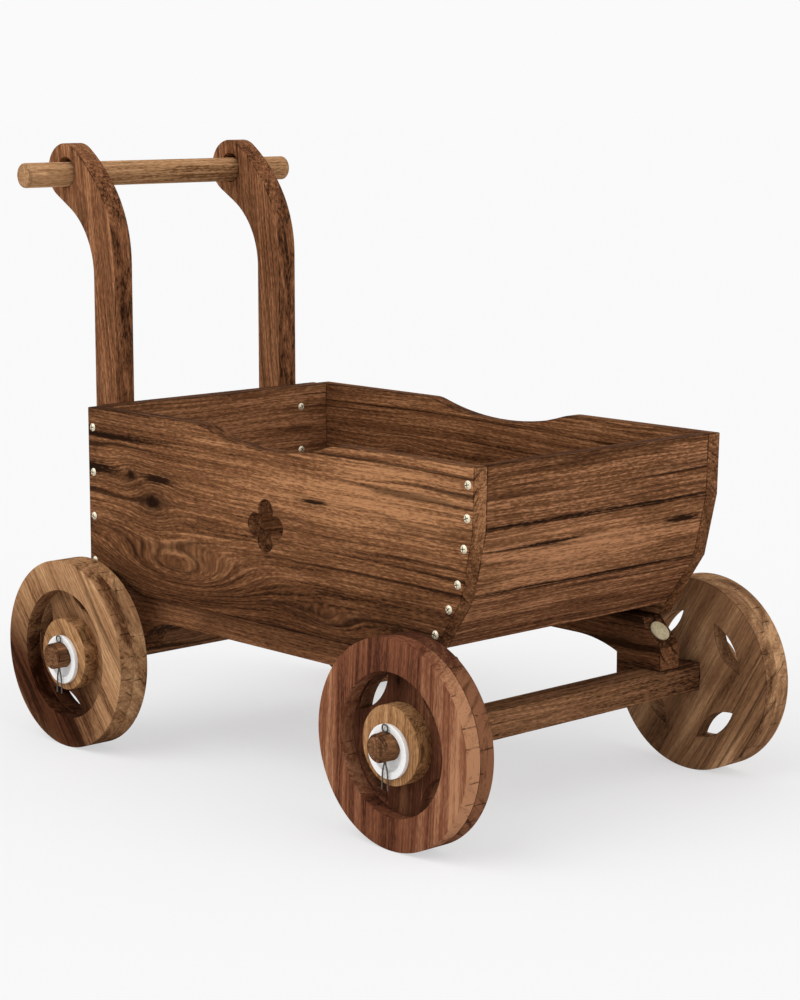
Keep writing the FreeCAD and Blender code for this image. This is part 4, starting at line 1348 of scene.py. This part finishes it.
@dataclass
class Box:
    """The open box: two sawn sides, three raked front boards and two back boards."""

    panel_reach: float = 0.162
    panel_middle: tuple[float, float] = (0.03625, 0.248)
    front_x: float = 0.3
    board_leans: tuple[tuple[str, float, float], ...] = (
        ("upper", 1.7, 0.310), ("middle", 13.0, 0.251), ("lower", 34.0, 0.198))
    back_x: float = -0.23775
    rounding: float = 0.0008

    def panels(self) -> None:
        """Dresses the two sides. The near one carries the knots and ovals of its own board."""
        x, z = self.panel_middle
        near = tuned(
            PANEL_WOOD, seed=3.0, heart_shift=0.03, char=0.8,
            knots=(Spot(-0.171 - x, 0.277 - z, 0.0062), Spot(-0.137 - x, 0.254 - z, 0.0085)),
            figures=(Spot(-0.1 - x, 0.186 - z, 0.12, 0.028, 0.042),
                     Spot(0.125 - x, 0.172 - z, 0.06, 0.013, 0.014)),
            smudges=(Spot(-0.238 - x, 0.279 - z, 0.05, 0.006), Spot(-0.128 - x, 0.278 - z, 0.026, 0.005),
                     Spot(0.105 - x, 0.284 - z, 0.02, 0.0028), Spot(-0.215 - x, 0.313 - z, 0.08, 0.0026)),
            # The patches paint light towards the upper front and shade towards the bottom and the upper rear.
            patches=(Spot(0.2 - x, 0.296 - z, 0.16, 0.036, -0.4),
                     Spot(0.03 - x, 0.165 - z, 0.34, 0.063, 0.46),
                     Spot(-0.2 - x, 0.3 - z, 0.1, 0.04, 0.1)))
        dress("side_panel_right", near, Lay((x, -self.panel_reach, z)), self.rounding)
        far = tuned(PANEL_WOOD, seed=8.0, char=0.9, heart_shift=-0.015, knots=(Spot(0.14, 0.02, 0.006),))
        dress("side_panel_left", far, Lay((x, self.panel_reach, z), along=(-1.0, 0.0, 0.0)), self.rounding)

    def front(self) -> None:
        """Dresses the three raked boards."""
        # The patches are painted light across the middle board's face and painted shade along the lower
        # board's lower edge.
        changes = {
            "upper": {"seed": 12.0, "middle": linear(108, 70, 44), "heart_shift": 0.05,
                      "smudges": (Spot(0.0, -0.0265, 0.2, 0.0016),)},
            "middle": {"seed": 15.5, "heart_shift": -0.01, "patches": (Spot(0.03, 0.0, 0.18, 0.022, -0.36),),
                       "smudges": (Spot(0.118, 0.012, 0.026, 0.0034), Spot(-0.06, 0.012, 0.06, 0.0016),
                                   Spot(0.0, -0.0285, 0.22, 0.0013))},
            "lower": {"seed": 19.0, "middle": linear(112, 72, 47), "heart_shift": 0.04,
                      "patches": (Spot(0.0, -0.03, 0.3, 0.018, 0.1),)},
        }
        for word, lean, height in self.board_leans:
            angle = math.radians(lean)
            lay = Lay((self.front_x, 0.0, height), (0.0, 1.0, 0.0), (math.sin(angle), 0.0, math.cos(angle)))
            dress(f"front_board_{word}", tuned(BOARD_WOOD, **changes[word]), lay, self.rounding)

    def back(self) -> None:
        """Dresses the two back boards."""
        for seed, word, height in ((23.0, "upper", 0.294), (26.0, "lower", 0.203)):
            lay = Lay((self.back_x, 0.0, height), (0.0, -1.0, 0.0))
            dress(f"rear_board_{word}", tuned(BOARD_WOOD, seed=seed), lay, self.rounding)

    def build(self) -> None:
        """Builds the whole box."""
        self.panels()
        self.front()
        self.back()


@dataclass
class Floor:
    """The slatted floor on its three cross battens."""

    board_middles: tuple[float, ...] = (-0.10985, -0.03665, 0.03665, 0.10985)
    board_top: float = 0.1845
    batten_places: tuple[tuple[str, float], ...] = (
        ("rear", -0.20675), ("middle", -0.0131), ("front", 0.1806))
    batten_height: float = 0.165
    rounding: float = 0.0008

    def build(self) -> None:
        """Dresses the boards and battens."""
        for number, middle in enumerate(self.board_middles, start=1):
            lay = Lay((0.0, middle, self.board_top), (1.0, 0.0, 0.0), (0.0, 1.0, 0.0))
            dress(f"floor_board_{number}", tuned(BOARD_WOOD, seed=30.0 + 2.3 * number), lay, self.rounding)
        for number, (word, middle) in enumerate(self.batten_places):
            lay = Lay((middle, 0.0, self.batten_height), (0.0, 1.0, 0.0), (1.0, 0.0, 0.0))
            dress(f"floor_batten_{word}", tuned(FRAME_WOOD, seed=41.0 + 2.9 * number), lay, self.rounding)


# ---------------------------------------------------------------- under the box


@dataclass
class Undercarriage:
    """The two arched bearers with their plugs, and the two axle beams."""

    rail_x: float = 0.02
    rail_middle: float = 0.136
    rail_height: float = 0.144
    plug_x: float = 0.267
    plug_height: float = 0.14475
    rounding: float = 0.0009

    def bearers(self) -> None:
        """Dresses the bearers and the pale plugs in their sloped corners."""
        slope = math.sqrt(0.5)
        for side in Side:
            y = side.value * self.rail_middle
            seed = 50.0 + 3.0 * side.value
            wood = tuned(FRAME_WOOD, seed=seed, middle=linear(114, 74, 48))
            dress(f"rail_{side.word}", wood, Lay((self.rail_x, y, self.rail_height)), self.rounding)
            plug = Lay((self.plug_x, y, self.plug_height), (slope, 0.0, slope), (0.0, 1.0, 0.0))
            dress(f"rail_plug_{side.word}", tuned(PLUG_WOOD, seed=seed + 1), plug, self.rounding / 3)

    def beams(self) -> None:
        """Dresses the two axle beams."""
        for number, end in enumerate(End):
            lay = Lay((end.value, 0.0, AXLE_HEIGHT), (0.0, 1.0, 0.0))
            wood = tuned(FRAME_WOOD, seed=60.0 + 4.0 * number, middle=linear(116, 80, 54),
                         heart_depth=0.02, light=linear(168, 120, 86), flank_lift=-0.05)
            dress(f"axle_beam_{end.word}", wood, lay, self.rounding)

    def build(self) -> None:
        """Builds what carries the box."""
        self.bearers()
        self.beams()


# ---------------------------------------------------------------- wheels


@dataclass
class Wheel:
    """One built-up wheel: a pierced back disc, its glued rim and hub rings, its washer and its pin."""

    EYE_SHAPE = ((1.08, -0.55), (1.12, 0.55), (0.6, 1.08))

    end: End
    side: Side
    grain_turn: float = 0.0
    rim_finish: WoodFinish = WHEEL_WOOD
    disc_finish: WoodFinish = WHEEL_WOOD
    hub_finish: WoodFinish = PALE_WOOD
    outer_radius: float = 0.095
    opening_radius: float = 0.065
    hub_radius: float = 0.036
    bore_radius: float = 0.01308
    ply: float = 0.0165
    ply_inner: float = 0.1985
    washer_outer: float = 0.0245
    washer_inner: float = 0.018
    washer_depth: float = 0.004
    washer_middle: float = 0.2173
    washer_drop: float = 0.0049
    pin_reach: float = 0.2211
    pin_eye_height: float = 0.1114
    pin_eye_radius: float = 0.0031
    pin_fork_height: float = 0.08
    pin_foot_height: float = 0.0562
    pin_spread: float = 0.0038
    wire_radius: float = 0.00078
    liner_gap: float = 0.00003
    liner_depth: float = 0.00022
    liner_radius: float = 0.0242
    liner_bore: float = 0.01315
    edge_round: float = 0.0005
    ring_segments: int = 128
    liner_segments: int = 96
    wire_sides: int = 12
    pin_bend: float = 0.006
    pin_nip: float = 0.001
    pin_throat: float = 0.004

    @property
    def word(self) -> str:
        """The wheel's words in a node's name."""
        return f"{self.end.word}_{self.side.word}"

    def lay(self) -> Lay:
        """The grain's lay on this wheel.

        Returns:
            The lay: straight across the wheel, at its own turn.
        """
        angle = math.radians(self.grain_turn)
        along = (math.sin(angle), 0.0, math.cos(angle))
        across = (math.cos(angle), 0.0, -math.sin(angle))
        return Lay((self.end.value, self.side.value * self.ply_inner, AXLE_HEIGHT), along, across)

    def ring(self, kind: str, finish: bpy.types.Material, outer: float, inner: float, middle: Vector,
             depth: float, round_by: float) -> None:
        """Turns one ring and lets it stand for its node.

        Args:
            kind: The first words of its node's name.
            finish: Its material.
            outer: Its outer radius.
            inner: Its inner radius.
            middle: Its centre.
            depth: Its thickness.
            round_by: The rounding of its edges.
        """
        node = f"{kind}_{self.word}"
        blank = bpy.data.meshes.new(node + "_blank")
        piece = RINGS.run(node + "_finished", blank, {
            "Outer Radius": outer, "Inner Radius": inner, "Depth": depth, "Edge Round": round_by,
            "Segments": self.ring_segments, "Centre": tuple(middle), "Finish": finish})
        stand_for(piece, node)

    def pin(self, metal: bpy.types.Material) -> None:
        """Bends the split pin: a leg up through the axle, the eye, and a leg down again.

        Args:
            metal: Its finish.
        """
        spread, foot, fork = self.pin_spread, self.pin_foot_height, self.pin_fork_height
        turn, eye = self.pin_eye_radius, self.pin_eye_height
        half = self.wire_radius * 1.02
        side = [(spread, foot), (spread * 0.94, foot + self.pin_bend), (spread * 0.8, fork - self.pin_bend),
                (half * 1.2, fork - self.pin_nip), (half, fork + self.pin_throat), (half, eye - turn * 1.7),
                (half * 1.1, eye - turn * 1.05)]
        side += [(turn * across, eye + turn * rise) for across, rise in self.EYE_SHAPE]
        points = [(-x, z) for x, z in side] + [(x, z) for x, z in reversed(side)]
        curve = bpy.data.curves.new(f"pin_path_{self.word}", "CURVE")
        curve.dimensions = "3D"
        spline = curve.splines.new("NURBS")
        spline.points.add(len(points) - 1)
        for place, (x, z) in enumerate(points):
            spline.points[place].co = (self.end.value + x, self.side.value * self.pin_reach, z, 1.0)
        spline.order_u = 3
        spline.use_endpoint_u = True
        spline.resolution_u = 6
        piece = WIRES.run(f"split_pin_{self.word}_finished", curve, {
            "Wire Radius": self.wire_radius, "Sides": self.wire_sides, "Finish": metal})
        stand_for(piece, f"split_pin_{self.word}")

    def liner(self, finish: bpy.types.Material) -> None:
        """Cuts the thin white liner behind the washer, its hole off centre so that it hugs the axle.

        Args:
            finish: Its material.
        """
        steps = self.liner_segments
        inner_y = self.side.value * (self.ply_inner + self.ply + self.liner_gap)
        outer_y = inner_y + self.side.value * self.liner_depth
        low = AXLE_HEIGHT - self.washer_drop
        rings = ((inner_y, self.liner_radius, low), (outer_y, self.liner_radius, low),
                 (outer_y, self.liner_bore, AXLE_HEIGHT), (inner_y, self.liner_bore, AXLE_HEIGHT))
        points, faces = [], []
        for place, (y, radius, height) in enumerate(rings):
            here, over = place * steps, (place + 1) % len(rings) * steps
            for step in range(steps):
                angle, after = math.tau * step / steps, (step + 1) % steps
                points.append((self.end.value + radius * math.cos(angle), y,
                               height + radius * math.sin(angle)))
                faces.append((here + step, here + after, over + after, over + step))
        mesh = bpy.data.meshes.new(f"washer_liner_{self.word}")
        mesh.from_pydata(points, [], faces)
        mend(mesh)
        mesh.materials.append(finish)
        piece = put(f"washer_liner_{self.word}", mesh)
        source = frame["nodes"][f"washer_{self.word}"]
        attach(piece, source["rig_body"])
        report.info("%s: %d faces, on %s", piece.name, len(mesh.polygons), source["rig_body"])

    def build(self, washer: bpy.types.Material, pin: bpy.types.Material) -> None:
        """Builds the wheel and what keeps it on its axle.

        Args:
            washer: The washers' finish.
            pin: The pins' finish.
        """
        lay = self.lay()
        dress(f"wheel_disc_{self.word}", self.disc_finish, lay, self.edge_round)
        middle = Vector((self.end.value, self.side.value * (self.ply_inner + self.ply / 2), AXLE_HEIGHT))
        rim = self.rim_finish.material(f"rim_{self.word}_wood", lay)
        self.ring("wheel_rim", rim, self.outer_radius, self.opening_radius, middle, self.ply, self.edge_round)
        hub = self.hub_finish.material(f"hub_{self.word}_wood", lay)
        self.ring("wheel_hub", hub, self.hub_radius, self.bore_radius, middle, self.ply, self.edge_round)
        hung = Vector((self.end.value, self.side.value * self.washer_middle,
                       AXLE_HEIGHT - self.washer_drop))
        self.ring("washer", washer, self.washer_outer, self.washer_inner, hung, self.washer_depth,
                  self.edge_round)
        self.liner(washer)
        self.pin(pin)


# ---------------------------------------------------------------- handle


@dataclass
class Handle:
    """The two curved arms and the round bar in their heads."""

    arm_middle: float = 0.10925
    arm_origin: tuple[float, float] = (-0.29, 0.42)
    arm_lean: Triple = (-0.12, 0.0, 0.99)
    bar_place: tuple[float, float] = (-0.33025, 0.56915)
    rounding: float = 0.0009

    def build(self) -> None:
        """Dresses the arms and the bar."""
        x, z = self.arm_origin
        for side in Side:
            lay = Lay((x, side.value * self.arm_middle, z), self.arm_lean, (1.0, 0.0, 0.0))
            wood = tuned(FRAME_WOOD, seed=71.0 + 3.0 * side.value, char=0.8, middle=linear(124, 80, 52),
                         light=linear(180, 126, 88), flank_lift=-0.14)
            dress(f"handle_arm_{side.word}", wood, lay, self.rounding)
        x, z = self.bar_place
        bar = tuned(PALE_WOOD, seed=80.0, middle=linear(174, 131, 92), light=linear(212, 168, 126))
        dress("handle_bar", bar, Lay((x, 0.0, z), (0.0, 1.0, 0.0)), self.rounding)


# ---------------------------------------------------------------- screws


@dataclass
class Screws:
    """Every screw, placed where the frame has it."""

    head_height: float = 0.0016
    head_radius: float = 0.004
    crown_radius: float = 0.0023
    shank_radius: float = 0.0019
    recess_span: float = 0.0052
    recess_width: float = 0.0009
    recess_depth: float = 0.0011
    first_seed: int = 11
    nodes: list[str] = field(default_factory=lambda: sorted(
        name for name in frame["nodes"] if "_screws" in name))

    def seats(self, node: str) -> tuple[list[Vector], list[Vector], list[float]]:
        """Reads each screw's seat, aim and reach off a node.

        Args:
            node: A node of screws.

        Returns:
            The seats, the ways the heads look, and the lengths below the heads.
        """
        work = merged(node)
        found: list[tuple[Vector, Vector, float]] = []
        for island in islands(set(work.verts), lambda one: [edge.other_vert(one) for edge in one.link_edges]):
            points = [vertex.co.copy() for vertex in island]
            low, high = corners(points)
            middle, reach = (low + high) / 2, high - low
            axis = max(range(3), key=lambda place: reach[place])
            square = Vector([float(place != axis) for place in range(3)])
            widest = max(points, key=lambda point: ((point - middle) * square).length)
            way = 1.0 if widest[axis] > middle[axis] else -1.0
            aim = Vector([way if place == axis else 0.0 for place in range(3)])
            seat = middle + aim * (reach[axis] / 2 - self.head_height)
            found.append((seat, aim, reach[axis] - self.head_height))
        work.free()
        found.sort(key=lambda one: tuple(round(value, 5) for value in one[0]))
        return [one[0] for one in found], [one[1] for one in found], [one[2] for one in found]

    def build(self, head: bpy.types.Material, recess: bpy.types.Material) -> None:
        """Builds one piece for each node of screws.

        Args:
            head: The screws' finish.
            recess: The dark finish down in the crosses, painted shade.
        """
        for number, node in enumerate(self.nodes):
            cloud = point_cloud(node + "_seats", *self.seats(node))
            piece = SCREWS.run(node + "_finished", cloud, {
                "Head Radius": self.head_radius, "Crown Radius": self.crown_radius,
                "Head Height": self.head_height, "Shank Radius": self.shank_radius,
                "Recess Span": self.recess_span, "Recess Width": self.recess_width,
                "Recess Depth": self.recess_depth, "Seed": self.first_seed + number, "Finish": head,
                "Recess Finish": recess})
            stand_for(piece, node)


# ---------------------------------------------------------------- the studio


@dataclass
class Studio:
    """The pale floor, the soft lamps and the camera."""

    camera_place: Triple = (1.83950, -1.66567, 0.66640)
    camera_aim: Triple = (-0.7225, 0.6716, -0.1637)
    lens: float = 114.17
    sensor: float = 36.0
    nearest: float = 0.05
    farthest: float = 200.0
    floor_half: float = 30.0
    ambient: float = 0.62
    backdrop: float = 0.955
    floor_colour: Colour = (0.8, 0.8, 0.8, 1.0)
    shadow_colour: Colour = (0.37, 0.37, 0.374, 1.0)
    floor_glow: float = 0.56
    lamps: tuple[tuple[str, Triple, float], ...] = (
        ("key", (-0.6, -2.6, 2.8), 1.35), ("front", (3.0, 0.6, 2.0), 0.75))
    lamp_spread: float = 55.0

    def camera(self) -> None:
        """Sets the camera where the photograph was taken from."""
        data = bpy.data.cameras.new("view")
        data.lens = self.lens
        data.sensor_width = self.sensor
        data.sensor_fit = "HORIZONTAL"
        data.clip_start = self.nearest
        data.clip_end = self.farthest
        camera = put("view", data)
        camera.location = self.camera_place
        camera.rotation_mode = "QUATERNION"
        camera.rotation_quaternion = Vector(self.camera_aim).to_track_quat("-Z", "Y")
        bpy.context.scene.camera = camera

    def seen(self, g: Graph) -> Value:
        """Tells what is looked at from what only lights.

        Args:
            g: The graph of a material or the world.

        Returns:
            One where the camera, a reflection or a refraction looks, else nought.
        """
        path = g.add("ShaderNodeLightPath")
        seen = g.larger(path.outputs["Is Camera Ray"], path.outputs["Is Glossy Ray"])
        return g.larger(seen, path.outputs["Is Transmission Ray"])

    def world(self) -> None:
        """A white world to look at, and a plain level of light from all round."""
        world = bpy.data.worlds.new("studio")
        world.use_nodes = True
        bpy.context.scene.world = world
        g = Graph(world.node_tree)
        back = world.node_tree.nodes["Background"]
        g.feed(back.inputs["Color"], WHITE)
        g.feed(back.inputs["Strength"], self.seen(g) * (self.backdrop - self.ambient) + self.ambient)

    def floor(self) -> None:
        """The floor: white to look at, and it keeps the shadow."""
        half = self.floor_half
        mesh = bpy.data.meshes.new("studio_floor")
        mesh.from_pydata([(-half, -half, 0), (half, -half, 0), (half, half, 0), (-half, half, 0)], [],
                         [(0, 1, 2, 3)])
        made = bpy.data.materials.new("studio_floor")
        made.use_nodes = True
        g = Graph(made.node_tree)
        made.node_tree.nodes.remove(made.node_tree.nodes["Principled BSDF"])
        matt = g.made("ShaderNodeBsdfDiffuse", {"Color": self.floor_colour})
        pale = g.made("ShaderNodeBsdfDiffuse", {"Color": self.shadow_colour})
        glow = g.made("ShaderNodeEmission", {"Color": WHITE, "Strength": self.floor_glow})
        lit = g.made("ShaderNodeAddShader", {0: pale, 1: glow})
        both = g.made("ShaderNodeMixShader", {0: self.seen(g), 1: matt, 2: lit})
        g.feed(made.node_tree.nodes["Material Output"].inputs["Surface"], both)
        mesh.materials.append(made)
        put("studio_floor", mesh)

    def lamp(self, name: str, place: Triple, strength: float) -> None:
        """Hangs one broad soft lamp, far away, so that it lights the floor evenly.

        Args:
            name: Its name.
            place: The way that it shines from.
            strength: Its strength.
        """
        data = bpy.data.lights.new(name, "SUN")
        data.energy = strength
        data.angle = math.radians(self.lamp_spread)
        lamp = put(name, data)
        lamp.location = place
        lamp.rotation_mode = "QUATERNION"
        lamp.rotation_quaternion = Vector(place).to_track_quat("Z", "Y")

    def build(self) -> None:
        """Builds the studio."""
        self.camera()
        self.world()
        self.floor()
        for name, place, strength in self.lamps:
            self.lamp(name, place, strength)
        bpy.context.scene.view_settings.view_transform = "Standard"


# ---------------------------------------------------------------- all of it


def wheels() -> list[Wheel]:
    """The four wheels, each with its own wood.

    Returns:
        The wheels, not built yet.
    """
    red = tuned(
        WHEEL_WOOD, seed=90.0, middle=linear(130, 80, 56), light=linear(178, 128, 94),
        dark=linear(72, 40, 28), knots=(Spot(-0.0225, -0.0725, 0.003),),
        # Painted light and shade on the rim: lighter at the front and rear of the face, darker at its bottom
        # and round the opening.
        patches=(Spot(-0.02, -0.09, 0.09, 0.03, -0.2), Spot(-0.085, 0.02, 0.045, 0.07, 0.16),
                 Spot(-0.01, 0.075, 0.06, 0.03, -0.22), Spot(0.0, 0.0, 0.062, 0.062, 0.42)))
    # Painted shade: the disc, recessed behind the rim's opening, is coloured darker than the rim.
    red_disc_in_painted_shade = tuned(
        red, seed=91.5, middle=linear(86, 50, 34), light=linear(132, 88, 62), dark=linear(50, 28, 19),
        knots=(Spot(0.0535, -0.0085, 0.0032),), patches=())
    gold = tuned(
        WHEEL_WOOD, seed=95.0, light=linear(216, 172, 126), middle=linear(170, 126, 88),
        dark=linear(92, 58, 36), char=0.7, flank_lift=-0.15, contrast=0.85, mottle=0.8,
        # Painted shade: the patches darken the face at its rear and bottom, and round the opening.
        patches=(Spot(0.03, -0.078, 0.09, 0.032, 1.0), Spot(0.0, 0.0, 0.06, 0.06, 0.35),
                 Spot(-0.066, -0.045, 0.06, 0.034, 0.9)))
    olive = tuned(
        WHEEL_WOOD, seed=99.0, light=linear(212, 166, 122), middle=linear(148, 108, 76),
        dark=linear(84, 55, 35), char=0.6, flank_lift=-0.05, streak_count=42.0, streak=0.8, fibre=0.32)
    hub = tuned(
        PALE_WOOD, seed=101.0, light=linear(208, 162, 116), middle=linear(164, 120, 80), cracks=16.0,
        flank_lift=-0.12)
    return [
        Wheel(End.FRONT, Side.RIGHT, 3.0, red, red_disc_in_painted_shade, hub),
        Wheel(End.REAR, Side.RIGHT, -38.0, gold, tuned(gold, seed=96.0), tuned(hub, seed=103.0)),
        Wheel(End.FRONT, Side.LEFT, 32.0, tuned(olive, seed=100.0), olive, tuned(hub, seed=105.0)),
        Wheel(End.REAR, Side.LEFT, 40.0, tuned(gold, seed=107.0), tuned(gold, seed=108.0),
              tuned(hub, seed=109.0)),
    ]


def main() -> None:
    """Builds the cart in order: the view, the box, what carries it, and what holds it together."""
    Studio().build()
    Box().build()
    Floor().build()
    Undercarriage().build()
    washer = WASHER_METAL.material("washer_plating")
    pin = PIN_METAL.material("pin_steel_bare")
    for wheel in wheels():
        wheel.build(washer, pin)
    Handle().build()
    Screws().build(SCREW_METAL.material("screw_plating"), RECESS_SHADE_METAL.material("screw_recess"))


if __name__ == "__main__":
    main()
